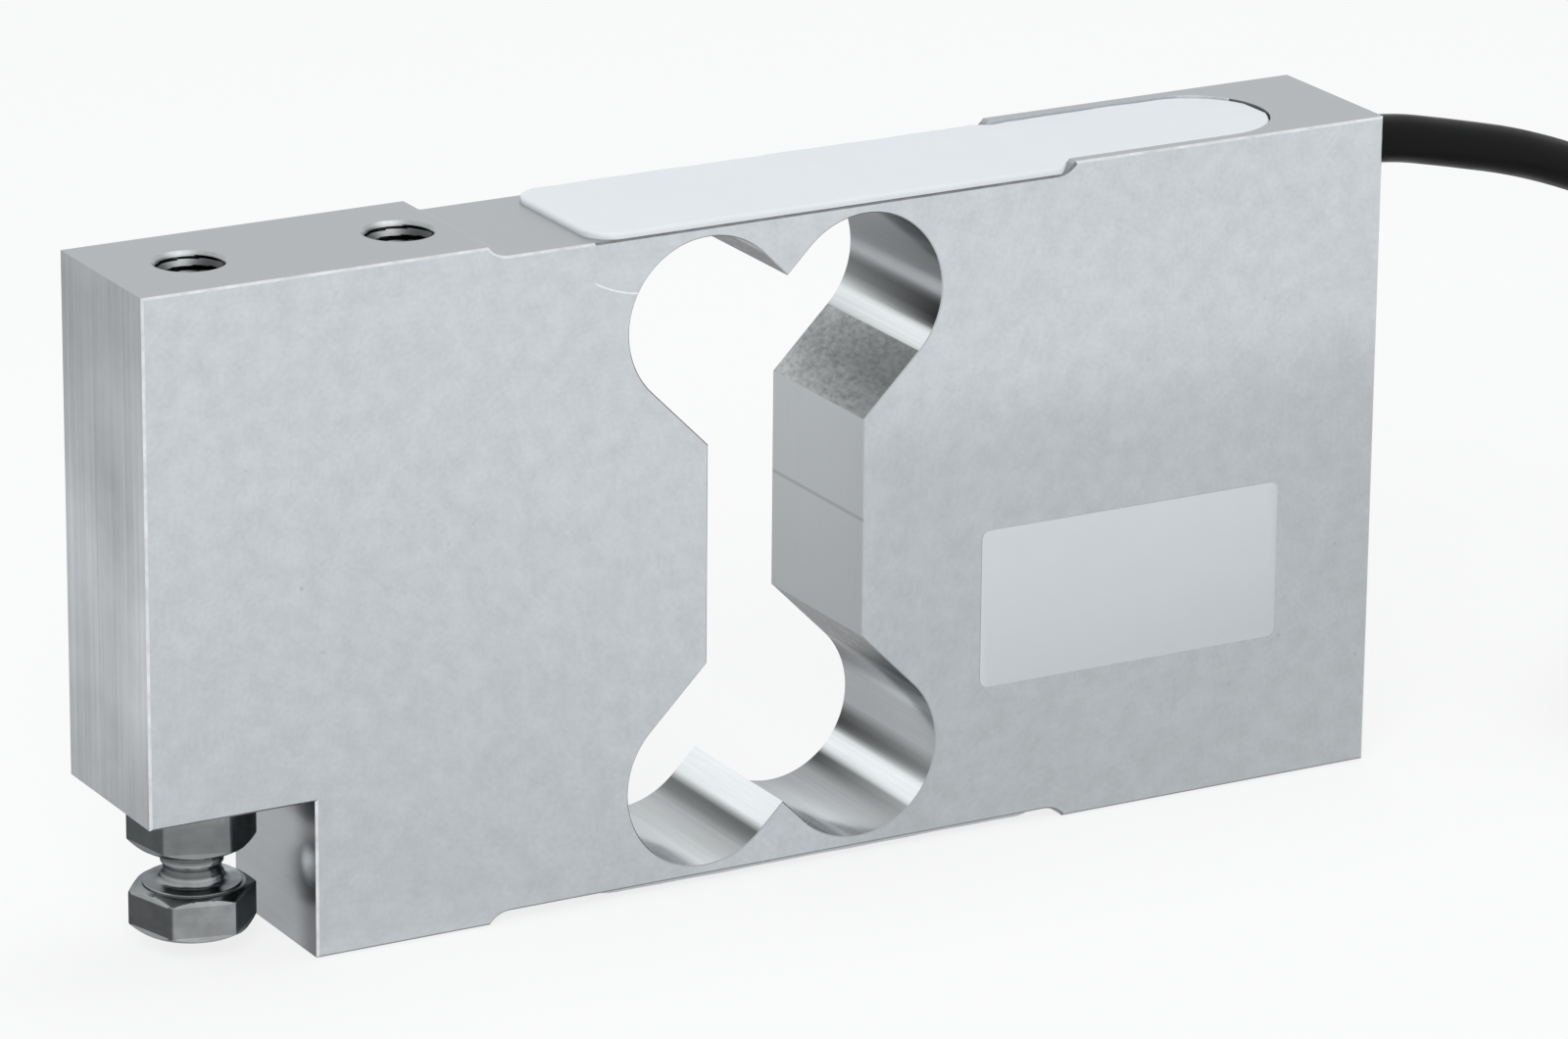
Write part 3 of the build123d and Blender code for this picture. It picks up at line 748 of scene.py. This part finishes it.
def painted_wall_light(points, kinds):
    """Painted light and shade on each face corner. A lobe's painted reflection bands go by angle and depth.
    A slanted arm's painted reflection goes along the arm and is lighter towards the back. The left wall has
    a painted reflection close to the lower cusp. The slot's walls have painted shade that lightens upwards,
    and the holes have painted shade that darkens with depth, with a painted glint on one side."""
    x, y, z = points.T
    middle = height / 2
    back_share = np.clip((y + half_thickness) / (2 * half_thickness), 0, 1)
    tone = np.interp(z, [middle - 12, middle + 12], [0.46, 0.54])
    for (right, up), bands in lobe_reflection_bands.items():
        here = (x * right >= 0) & ((z - middle) * up > 0)
        angle = np.degrees(np.arctan2(z - middle - up * lobe_z, x - right * lobe_x))
        stops, at_front, at_back = np.array(bands, float).T
        front, back = np.interp(angle, stops, at_front), np.interp(angle, stops, at_back)
        banded = front * (1 - back_share) + back * back_share
        tone = np.where(here & (kinds == number_of["bored_wall"]), banded, tone)
        along_arm = np.interp(np.abs(x), arm_x, arm_shares)
        arm_tone = arm_reflection_tones[right, up] * along_arm * (1 + 0.7 * back_share**2)
        tone = np.where(here & (kinds == number_of["milled_arm"]), arm_tone, tone)
    cusp_run = np.hypot(x, z - lower_cusp_z)
    at_cusp = (kinds == number_of["bored_wall"]) & (x <= 0.001) & (cusp_run < cusp_reflection_runs[1])
    tone = np.where(at_cusp, np.interp(cusp_run, cusp_reflection_runs, cusp_reflection_tones), tone)
    for hole_x, mouth_z, way in hole_places:
        deep = (z - mouth_z) * way
        near = np.hypot(x - hole_x, y) < mouth_r + 0.2
        here = (kinds == number_of["tapped_hole"]) & near & (deep > -0.1) & (deep < hole_reach)
        around = np.degrees(np.arctan2(y, x - hole_x))
        glint = np.exp(-(((around - glint_angle) / glint_width) ** 2))
        glint = glint * np.interp(deep, hole_depths, hole_glints)
        tone = np.where(here, np.interp(deep, hole_depths, hole_shades) + glint, tone)
    return tone


def give_tones(mesh, name, tone_of):
    """Stores tone_of(points in millimetres, finish numbers) as one number on each corner of each face."""
    points = np.empty(len(mesh.vertices) * 3)
    mesh.vertices.foreach_get("co", points)
    corners = np.empty(len(mesh.loops), np.int32)
    mesh.loops.foreach_get("vertex_index", corners)
    sizes, kinds = np.empty(len(mesh.polygons), np.int32), np.empty(len(mesh.polygons), np.int32)
    mesh.polygons.foreach_get("loop_total", sizes)
    mesh.polygons.foreach_get("material_index", kinds)
    tones = tone_of(points.reshape(-1, 3)[corners] / mm, np.repeat(kinds, sizes))
    mesh.attributes.new(name, "FLOAT", "CORNER").data.foreach_set("value", tones.astype(np.float32))
    return tones


tones = give_tones(beam.data, "painted_wall_tone", painted_wall_light)
print("wall tones from", round(float(tones.min()), 2), "to", round(float(tones.max()), 2))

# %% [markdown]
# ## Stop screw and lock nut
# A hexagon head is a prism whose corners a cone has trimmed. It could be cut with booleans, but at each
# angle and height its radius is simply the smaller of the hexagon's and the cone's, so one formula over
# a grid gives the flats, the corners and the curved trim lines together.

# %% Turn the screw and the nut
flats, trim_r, trim_slope = 12.0, 5.6, math.tan(math.radians(30))
hex_corner_r, neck_r = flats / math.sqrt(3), 3.45
head_z, head_h, head_turn = 2.2, 5.0, 256.0
nut_z, nut_h, nut_turn = 11.5, 6.0, 250.6


def hexagon_radii(heights, top):
    """At each angle the smaller of three radii: the flat's, and the lower and upper cone's."""
    angles = np.linspace(0, 2 * np.pi, turned_sides, endpoint=False)
    within = (angles + np.pi / 6) % (np.pi / 3) - np.pi / 6
    flat = np.minimum(flats / 2 / np.cos(within), hex_corner_r - 0.06)
    low = trim_r + heights / trim_slope
    high = trim_r + (top - heights) / trim_slope
    return np.minimum(flat[None, :], np.minimum(low, high)[:, None])


def edge_rows(top):
    """Heights that are close together near the foot and the top, and wide apart between them."""
    trim = np.linspace(0, 0.85, 12)
    return np.r_[trim, np.linspace(1.1, top - 1.1, 4), top - trim[::-1]]


def round_rings(radii):
    """The same radius all round, for each of the radii."""
    return np.repeat(np.array(radii)[:, None], turned_sides, axis=1)


stem = [
    (5.30, 5.00), (5.30, 5.18), (5.22, 5.25), (4.05, 5.25), (3.75, 5.33), (3.52, 5.52), (3.42, 5.80),
    (3.38, 6.10), (3.20, 6.30), (3.12, 6.55), (3.12, 6.95), (3.20, 7.20), (3.36, 7.42), (3.40, 7.70),
    (3.40, 7.95), (3.26, 8.15), (3.22, 8.40), (3.28, 8.65), (3.30, 8.90), (3.30, 22.0), (2.9, 22.6),
]
stem_r, stem_z = zip(*stem)
head_rows = edge_rows(head_h)
bolt_radii = np.vstack([hexagon_radii(head_rows, head_h), round_rings(stem_r)])
bolt_rows = np.r_[head_rows, stem_z]
bolt = turned_piece("stop_screw", bolt_radii, bolt_rows, (stop_x, 0.0, head_z), head_turn)
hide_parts("overload_stop_bolt")

nut_mouth_r, nut_mouth_z = (3.5, 3.95, 5.55), (0.75, 0.02, 0.0)
nut_rows = edge_rows(nut_h)
beyond_top = nut_h + 9.0  # no upper cone, because that face lies against the block
nut_radii = np.vstack([round_rings(nut_mouth_r), hexagon_radii(nut_rows, beyond_top)])
nut = turned_piece("lock_nut", nut_radii, np.r_[nut_mouth_z, nut_rows], (stop_x, 0.0, nut_z), nut_turn)
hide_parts("stop_lock_nut")

# %% Plate the steel, and paint light and shade on each flat and each turned band
# Painted light and shade on each flat of the head and of the nut, and painted reflection bands up the neck.
head_flat_shading = (0.40, 0.24, 0.34, 0.26, 0.20, 0.115)
nut_flat_shading = (0.265, 0.62, 0.22, 0.17, 0.13, 0.12)
neck_reflection_bands = [
    (5.0, 0.30), (5.2, 0.30), (5.3, 0.60), (5.6, 0.10), (6.0, 0.45), (6.3, 0.12), (6.7, 0.16), (7.1, 0.20),
    (7.4, 0.62), (7.7, 0.30), (8.1, 0.10), (8.5, 0.16), (9.2, 0.05), (22.0, 0.05),
]
washer_glint, neck_glint = 350.0, 280.0


def painted_steel_light(points, turn, base_z, flat_shading, trim_highlight, has_neck):
    """Painted light and shade by the flat that a point's angle falls on, and a painted highlight where a
    cone has trimmed the corners. On the screw, the washer face has a painted highlight on its far right,
    and the neck's painted reflection bands follow the height."""
    x, y, z = points.T
    x, z = x - stop_x, z - base_z
    around = np.degrees(np.arctan2(y, x))
    radius = np.hypot(x, y)
    tone = np.array(flat_shading)[np.round((around - turn) / 60.0).astype(int) % 6]
    at_ends = (z < 0.8) | (z > head_h - 0.8)
    trimmed = (radius > neck_r) & (radius < hex_corner_r - 0.2) & at_ends
    tone = np.where(trimmed, np.clip(tone * 1.4, trim_highlight, 0.6), tone)
    if has_neck:
        washer = 0.42 + 0.58 * np.clip(np.cos(np.radians(around - washer_glint)), 0, 1) ** 4
        tone = np.where((z > head_h - 0.02) & (radius > neck_r), washer, tone)
        neck = np.interp(z, *np.array(neck_reflection_bands).T)
        neck = neck * (1 + 0.5 * np.cos(np.radians(around - neck_glint)))
        tone = np.where((z > head_h - 0.1) & (radius <= neck_r), neck, tone)
    return tone


steel = finish("plated_steel", cool, 0.22, 1.0, 0.60, 700, (200, 200, 1400), 0.4, bump=0.012, cloud=260,
               tint=(0.35, 0.36, 0.37), tone="steel_painted_tone")
for piece, *looks in (
    (bolt, head_turn, head_z, head_flat_shading, 0.42, True),
    (nut, nut_turn, nut_z, nut_flat_shading, 0.28, False),
):
    steel_painted_tone = give_tones(piece.data, "steel_painted_tone", lambda points, _: painted_steel_light(points, *looks))
    dress(piece, steel)
    print(piece.name, "has steel tones around", round(float(steel_painted_tone.mean()), 2))

# %% [markdown]
# ## Sealant
# White silicone is poured over the gauges and finds its own level, so it has a flat crown and rolled edges.
# Where it meets the metal, the beam's broken edge carries a painted shadow line. It is one sheet over a
# grid: half its width is a function of X, and its height falls off in a quarter round near every edge.

# %% Pour the top and the bottom coat
corner_r, wide_half, bottom_inset = 3.5, 9.85, 0.6
pocket_centre, pocket_r = 56.5, 8.42
pocket_x1 = pocket_centre + pocket_r
neck_start, neck_end = 33.6, 35.9
roll_r, lift_run = 0.5, 4.0


def rounded_half(half, radius, past):
    """Half a width, less a round corner of this radius where x is past the corner's start."""
    past = np.clip(past, 0, radius)
    return half - radius + np.sqrt(np.clip(radius**2 - past**2, 0, None))


def coat_width(x):
    """Half the coat's width at x: round corners at its free end, the step's width, then the pocket's
    width with its round end."""
    wide = rounded_half(wide_half, corner_r, coat_start + corner_r - x)
    narrow = rounded_half(pocket_r, pocket_r, x - pocket_centre)
    share = np.clip((x - neck_start) / (neck_end - neck_start), 0, 1)
    share = share * share * (3 - 2 * share)
    return wide * (1 - share) + narrow * share


def bottom_width(x):
    """Half the lower coat's width: round corners at both ends."""
    past = np.maximum(coat_start + corner_r - x, x - (step_flat - corner_r))
    return rounded_half(wide_half - bottom_inset, corner_r, past)


def coat(name, x1, width_of, floor_z, way, crown, lift):
    """A closed sheet from the coat's start to x1, with rows crowded near both ends and columns near both
    sides. The height above the floor is the crown's, with a slow wave and the lift over the pocket, times
    a quarter round of the distance to the nearest edge."""
    x = coat_start + (x1 - coat_start) * (0.5 - 0.5 * np.cos(np.linspace(0, np.pi, 260)))
    half = np.maximum(width_of(x), 1e-4)
    y = half[:, None] * np.sin(np.linspace(-np.pi / 2, np.pi / 2, 61))[None, :]
    grid_x = np.broadcast_to(x[:, None], y.shape)
    to_end = np.minimum(grid_x - coat_start, x1 - grid_x)
    near = np.clip(np.minimum(half[:, None] - np.abs(y), to_end) / roll_r, 0, 1)
    rolled = np.sqrt(np.clip(1 - (1 - near) ** 2, 0, None))
    wave = 0.03 * np.sin(grid_x * 0.33 + 0.8) * np.cos(y * 0.42) + 0.02 * np.sin(grid_x * 0.81 + y * 0.6)
    lifted = lift * np.clip((grid_x - neck_start) / lift_run, 0, 1)
    top = floor_z + way * (crown + wave + lifted) * (0.25 + 0.75 * rolled)
    upper, lower = (np.stack([grid_x, y, z], axis=-1) for z in (top, np.full_like(top, floor_z)))
    rows, columns = y.shape
    size = rows * columns
    faces = grid_faces(rows, columns) + [f[::-1] for f in grid_faces(rows, columns, start=size)]
    edge = np.r_[
        np.arange(columns),
        np.arange(1, rows) * columns + columns - 1,
        (rows - 1) * columns + np.arange(columns - 2, -1, -1),
        np.arange(rows - 2, 0, -1) * columns,
    ]
    ahead = np.roll(edge, -1)
    faces += np.column_stack([edge, edge + size, ahead + size, ahead]).tolist()
    if way > 0:
        faces = [f[::-1] for f in faces]
    return piece_from(name, np.vstack([upper.reshape(-1, 3), lower.reshape(-1, 3)]), faces, 60.0)


top_coat = coat("top_coat", pocket_x1, coat_width, height - step_depth, 1, 0.68, 0.34)
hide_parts("top_sealant")
bottom_coat = coat("bottom_coat", step_flat, bottom_width, step_depth, -1, 0.66, 0.0)
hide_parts("bottom_sealant")
silicone = finish("white_silicone", (0.74, 0.77, 0.785), 0.42, 0.0, 0.95, 120, rough_swing=0.06, bump=0.03,
                  cloud=40)
for piece in (top_coat, bottom_coat):
    dress(piece, silicone)

# %% [markdown]
# ## Label film, ties and the stripped end
# The plate on the front face is a thin film with round corners. Here it stays blank. The hank is held by
# two woven straps whose ends overlap, and the cable's free end has a shrink sleeve and bare cores.

# %% Make the film
def rounded_rectangle(width, tall, radius):
    """Once round a rectangle with round corners, anticlockwise, with eight points in each corner."""
    a, b = width / 2 - radius, tall / 2 - radius
    corners = ((a, b, 0), (-a, b, 90), (-a, -b, 180), (a, -b, 270))
    return np.vstack([arc((x, y), radius, turn, turn + 90, 8) for x, y, turn in corners])


label_centre, label_size, label_t, label_corner = (43.5, 25.8), (38.0, 18.0), 0.1, 1.0
film_rings = []
for depth, shrink in ((0.0, 0.0), (0.07, 0.0), (label_t, 0.05)):  # its rim leans in a little at the top
    ring = rounded_rectangle(label_size[0] - 2 * shrink, label_size[1] - 2 * shrink, label_corner)
    film_rings.append(upright(ring + label_centre, -half_thickness - depth))
film_grid = np.stack(film_rings)
film = piece_from("label_film", film_grid.reshape(-1, 3), capped(film_grid), 30.0)
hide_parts("rating_label")
dress(film, finish("blank_film", (0.64, 0.665, 0.68), 0.40, 0.0, 0.965, 250, rough_swing=0.04, bump=0.006,
                   cloud=70))


# %% Wrap the ties
def along_loop(line, shares):
    """Points at the given shares of a closed line's length, which may go past 1."""
    closed = np.vstack([line, line[:1]])
    steps = np.r_[0, np.cumsum(np.linalg.norm(np.diff(closed, axis=0), axis=1))]
    where = (np.asarray(shares) % 1.0) * steps[-1]
    return np.column_stack([np.interp(where, steps, closed[:, k]) for k in range(2)])


tie_t, tie_width, tie_gap, tie_corner = 0.5, 5.0, 0.02, 1.8
measure_out = 0.6  # how far out the second loop is drawn, which only gives the way outwards
overlap_start, overlap_run, overlap_lift, tie_shares = 0.97, 0.05, 0.42, 1.16
hank_tall = 3 * layer_pitch + cable_d
hank_foot = strand_z - cable_d / 2
strand_half = (column_r[0] - column_r[1] + cable_d) / 2
shares = np.linspace(0.0, tie_shares, 150)
inner = rounded_rectangle(2 * strand_half, hank_tall, tie_corner)
outer = rounded_rectangle(
    2 * (strand_half + measure_out), hank_tall + 2 * measure_out, tie_corner + measure_out
)
a, b = along_loop(inner, shares), along_loop(outer, shares)
outwards = (b - a) / np.linalg.norm(b - a, axis=1, keepdims=True)
lift = np.clip((shares - overlap_start) / overlap_run, 0, 1)[:, None] * overlap_lift
low, high = a + outwards * (tie_gap + lift), a + outwards * (tie_gap + tie_t + lift)
straps = []
for side in (-1, 1):
    centre_y = hank_y + side * (column_r[0] + column_r[1]) / 2
    rings = []
    for line, half in ((low, 1), (high, 1), (high, -1), (low, -1)):
        x = np.full(len(line), hank_middle + half * tie_width / 2)
        y, z = centre_y - side * line[:, 0], hank_foot + hank_tall / 2 + line[:, 1]
        rings.append(np.column_stack([x, y, z]))
    strap = np.stack(rings, axis=1)
    faces = capped(strap)
    straps.append((strap.reshape(-1, 3), faces if side < 0 else [f[::-1] for f in faces]))
ties = piece_from("hank_straps", *joined(straps), 40.0)
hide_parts("hank_ties")
dress(ties, finish("woven_strap", (0.03, 0.03, 0.035), 0.85, 0.0, 0.4, 2500, (1200, 6000, 6000), 0.5,
                   bump=0.12, specular=0.2))

# %% Shrink the sleeve onto the end of the jacket
upward = np.array([0.0, 0.0, 1.0])


def heading(start, end):
    """The direction from one point to another, with a length of one."""
    return (end - start) / np.linalg.norm(end - start)


def level_across(along):
    """The level direction that is square to another level direction."""
    return np.array([-along[1], along[0], 0.0])


tail_end = np.array(tail_points[-1])
tail_along = heading(np.array(tail_points[-2]), tail_end)
tail_across = level_across(tail_along)
sleeve_rows = [
    (2.55, -8.0), (2.82, -8.0), (3.00, -7.7), (3.02, -6.0), (3.08, -4.0), (3.00, -2.2),
    (3.04, -0.6), (2.92, 0.2), (2.60, 0.75), (2.2, 1.0), (1.5, 0.92),
]
sleeve_r, sleeve_s = np.array(sleeve_rows).T
sleeve_sides = 48
sleeve_grid = ring_grid(sleeve_r, sleeve_s, sleeve_sides)
angles = np.linspace(0, 2 * np.pi, sleeve_sides, endpoint=False)
squeeze = np.clip(sleeve_s + 0.6, 0, 1)[:, None]
sleeve_grid[..., :2] *= (1 - 0.05 * squeeze * np.cos(5 * angles))[..., None]
sleeve_points = tail_end + sleeve_grid @ np.array([tail_across, upward, tail_along])
sleeve = piece_from("shrink_sleeve", sleeve_points.reshape(-1, 3), capped(sleeve_grid), 50.0)
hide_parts("cable_end_sleeve")

# %% Lay the bare cores and their tinned tips
# Where each leaves the sleeve (across, up), where it bends and ends (from the hank's middle), its colour.
core_plan = {
    "red": ((-1.05, -1.05), (21.0, -5.6), (34.0, -8.2), (0.50, 0.03, 0.03), "insulation_red"),
    "black": ((-1.05, 1.05), (25.0, -4.2), (37.0, -4.4), (0.02, 0.02, 0.02), "insulation_black"),
    "shield": ((0.0, 0.0), (23.0, -1.8), (38.5, -0.6), (0.62, 0.60, 0.54), "insulation_clear"),
    "green": ((1.05, 1.05), (25.5, 0.6), (37.0, 3.0), (0.03, 0.26, 0.08), "insulation_green"),
    "white": ((1.05, -1.05), (22.0, 2.4), (33.5, 6.4), (0.80, 0.80, 0.78), "insulation_white"),
}
core_start, tip_overlap, tip_length, wire_d = 0.9, 0.3, 5.0, 0.26


def twisted_tip(place, along):
    """Seven twisted wires: each centre is on a helix about the core's line, the middle one on the line."""
    across = level_across(along)
    s = np.linspace(0, 1, 18)
    ring = np.linspace(0, 2 * np.pi, 8, endpoint=False)
    parts = []
    for k in range(7):
        far = 0.0 if k == 0 else wire_d * 0.98
        turn = 2 * np.pi * (k / 6 + 0.9 * s)
        splay = 1 + 0.25 * s**3
        centre = place + s[:, None] * tip_length * along
        centre = centre + (far * splay * np.cos(turn))[:, None] * across
        centre = centre + (far * splay * np.sin(turn))[:, None] * upward
        grid = centre[:, None, :] + wire_d / 2 * np.cos(ring)[None, :, None] * across
        grid = grid + wire_d / 2 * np.sin(ring)[None, :, None] * upward
        parts.append((grid.reshape(-1, 3), [f[::-1] for f in capped(grid)]))
    return joined(parts)


core_pieces, tip_parts = [], []
for colour, (start, middle, end, paint, slot_name) in core_plan.items():
    core_d = 1.2 if colour == "shield" else 1.3
    first = tail_end + core_start * tail_along + start[0] * tail_across + start[1] * upward
    bend = np.array([hank_middle + middle[0], hank_y + middle[1], core_d / 2])
    last = np.array([hank_middle + end[0], hank_y + end[1], core_d / 2])
    name = "shield_lead" if colour == "shield" else "core_" + colour
    core = nurbs_cord(name, [first, bend, last], core_d, 3)
    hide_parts("end_shield_lead" if colour == "shield" else "end_core_" + colour)
    dress(core, finish(name + "_paint", paint, 0.42, 0.0, 0.9, 300, rough_swing=0.05, bump=0.01))
    core_pieces.append(core)
    along = heading(bend, last)
    tip_parts.append(twisted_tip(last - tip_overlap * along, along))
tips = piece_from("tinned_tips", *joined(tip_parts), 60.0)
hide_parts("end_core_tips")
dress(tips, finish("tinned_strands", (0.70, 0.69, 0.66), 0.32, 1.0, 0.8, 900))

dress(cable, finish("cable_jacket", (0.004, 0.0042, 0.0046), 0.42, 0.0, 0.8, 250, rough_swing=0.06,
                    specular=0.12))
dress(sleeve, finish("shrink_sleeve_black", (0.012, 0.012, 0.013), 0.30, 0.0, 0.8, 300, rough_swing=0.05))

# %% [markdown]
# ## Parts under the sealant
# The gauges, terminals, board and inner wires stay the CAD's own solids, because nobody sees them until
# the sealant is peeled off. They still get their own finishes.

# %% Dress the hidden parts
hidden = [
    ("gauge_film", (0.42, 0.22, 0.05), 0.35, 0.0, "gauge_top_load", "gauge_top_fixed",
     "gauge_bottom_load", "gauge_bottom_fixed"),
    ("copper_pads", (0.62, 0.40, 0.22), 0.35, 1.0, "gauge_terminals_top", "gauge_terminals_bottom"),
    ("board_green", (0.02, 0.16, 0.05), 0.40, 0.0, "bridge_board"),
    ("resistor_black", (0.02, 0.02, 0.022), 0.45, 0.0, "trim_resistors"),
    ("solder_grey", (0.60, 0.61, 0.62), 0.30, 1.0, "board_joints"),
    ("wire_clear", (0.45, 0.40, 0.28), 0.40, 0.0, "gauge_leads_top", "gauge_leads_bottom"),
    ("inner_jacket", (0.02, 0.021, 0.023), 0.42, 0.0, "cable_inner_end"),
    ("inner_red", (0.50, 0.03, 0.03), 0.42, 0.0, "inner_core_red"),
    ("inner_black", (0.02, 0.02, 0.02), 0.42, 0.0, "inner_core_black"),
    ("inner_green", (0.03, 0.26, 0.08), 0.42, 0.0, "inner_core_green"),
    ("inner_white", (0.80, 0.80, 0.78), 0.42, 0.0, "inner_core_white"),
    ("inner_drain", (0.60, 0.59, 0.56), 0.35, 1.0, "inner_drain_wire"),
]
for name, colour, roughness, metallic, *node_names in hidden:
    look = finish(name, colour, roughness, metallic)
    for node_name in node_names:
        dress(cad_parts[node_name], look)
    print(name, "on", ", ".join(node_names))

# %% [markdown]
# ## Floor, backdrop and light
# The photograph is a cut-out on white. A pale floor that shows white to the camera, and a white sky for
# the camera and for reflections, give the same look and keep a soft shadow under the part.

# %% Build the studio
reach = 6.0
floor_mesh = bpy.data.meshes.new("floor")
corners = [(-reach, -reach, 0.0), (reach, -reach, 0.0), (reach, reach, 0.0), (-reach, reach, 0.0)]
floor_mesh.from_pydata(corners, [], [(0, 1, 2, 3)])
floor = bpy.data.objects.new("floor", floor_mesh)
floor.location.z = -0.0002
bpy.context.scene.collection.objects.link(floor)


def shader_node(tree, kind, colour, strength=None):
    """A plain shader of one colour, and of one strength where it gives light."""
    node = tree.nodes.new(kind)
    node.inputs["Color"].default_value = (*colour, 1)
    if strength is not None:
        node.inputs["Strength"].default_value = strength
    return node


def seen_rays(nodes, links, share):
    """The share, for rays that the camera, a gloss or a glass sends, and nothing for the others."""
    path = nodes.new("ShaderNodeLightPath")
    found = path.outputs["Is Camera Ray"]
    for kind in ("Is Glossy Ray", "Is Transmission Ray"):
        found = math_node(nodes, links, "MAXIMUM", found, path.outputs[kind])
    return math_node(nodes, links, "MULTIPLY", found, share)


def mix_by_ray(tree, plain, seen, share, output_kind):
    """Mixes in the shader that is seen, by the share, and leaves the plain one for all other rays."""
    mixed = tree.nodes.new("ShaderNodeMixShader")
    tree.links.new(seen_rays(tree.nodes, tree.links, share), mixed.inputs["Fac"])
    tree.links.new(plain.outputs[0], mixed.inputs[1])
    tree.links.new(seen.outputs[0], mixed.inputs[2])
    tree.links.new(mixed.outputs[0], tree.nodes.new(output_kind).inputs["Surface"])


floor_paint = bpy.data.materials.new("pale_floor")
world = bpy.data.worlds.new("studio")
for owner in (floor_paint, world):
    owner.use_nodes = True
    owner.node_tree.nodes.clear()
matte = shader_node(floor_paint.node_tree, "ShaderNodeBsdfDiffuse", (0.86, 0.86, 0.86))
glow = shader_node(floor_paint.node_tree, "ShaderNodeEmission", (1, 1, 1), 1.0)
mix_by_ray(floor_paint.node_tree, matte, glow, 0.80, "ShaderNodeOutputMaterial")
floor_mesh.materials.append(floor_paint)

dim = shader_node(world.node_tree, "ShaderNodeBackground", (0.92, 0.95, 1.0), 0.52)
white = shader_node(world.node_tree, "ShaderNodeBackground", (1, 1, 1), 1.0)
mix_by_ray(world.node_tree, dim, white, 1.0, "ShaderNodeOutputWorld")
bpy.context.scene.world = world


def softbox(name, place, aim, width, tall, watts):
    """A rectangular area lamp at place that looks at aim. Gloss sees only the white studio, so bright
    metal doesn't clip from any side."""
    data = bpy.data.lights.new(name, "AREA")
    data.shape, data.size, data.size_y, data.energy = "RECTANGLE", width, tall, watts
    lamp = bpy.data.objects.new(name, data)
    lamp.location = place
    lamp.rotation_euler = (Vector(aim) - Vector(place)).to_track_quat("-Z", "Y").to_euler()
    lamp.visible_glossy = False
    bpy.context.scene.collection.objects.link(lamp)
    print("lamp:", name, watts, "W")


softbox("key_light", (-0.45, -0.60, 0.60), (-0.03, 0, 0.05), 0.5, 0.4, 4.0)
softbox("top_light", (0.25, 0.15, 0.9), (0, 0, 0.05), 0.7, 0.5, 2.5)
bpy.context.scene.view_settings.view_transform = "Standard"
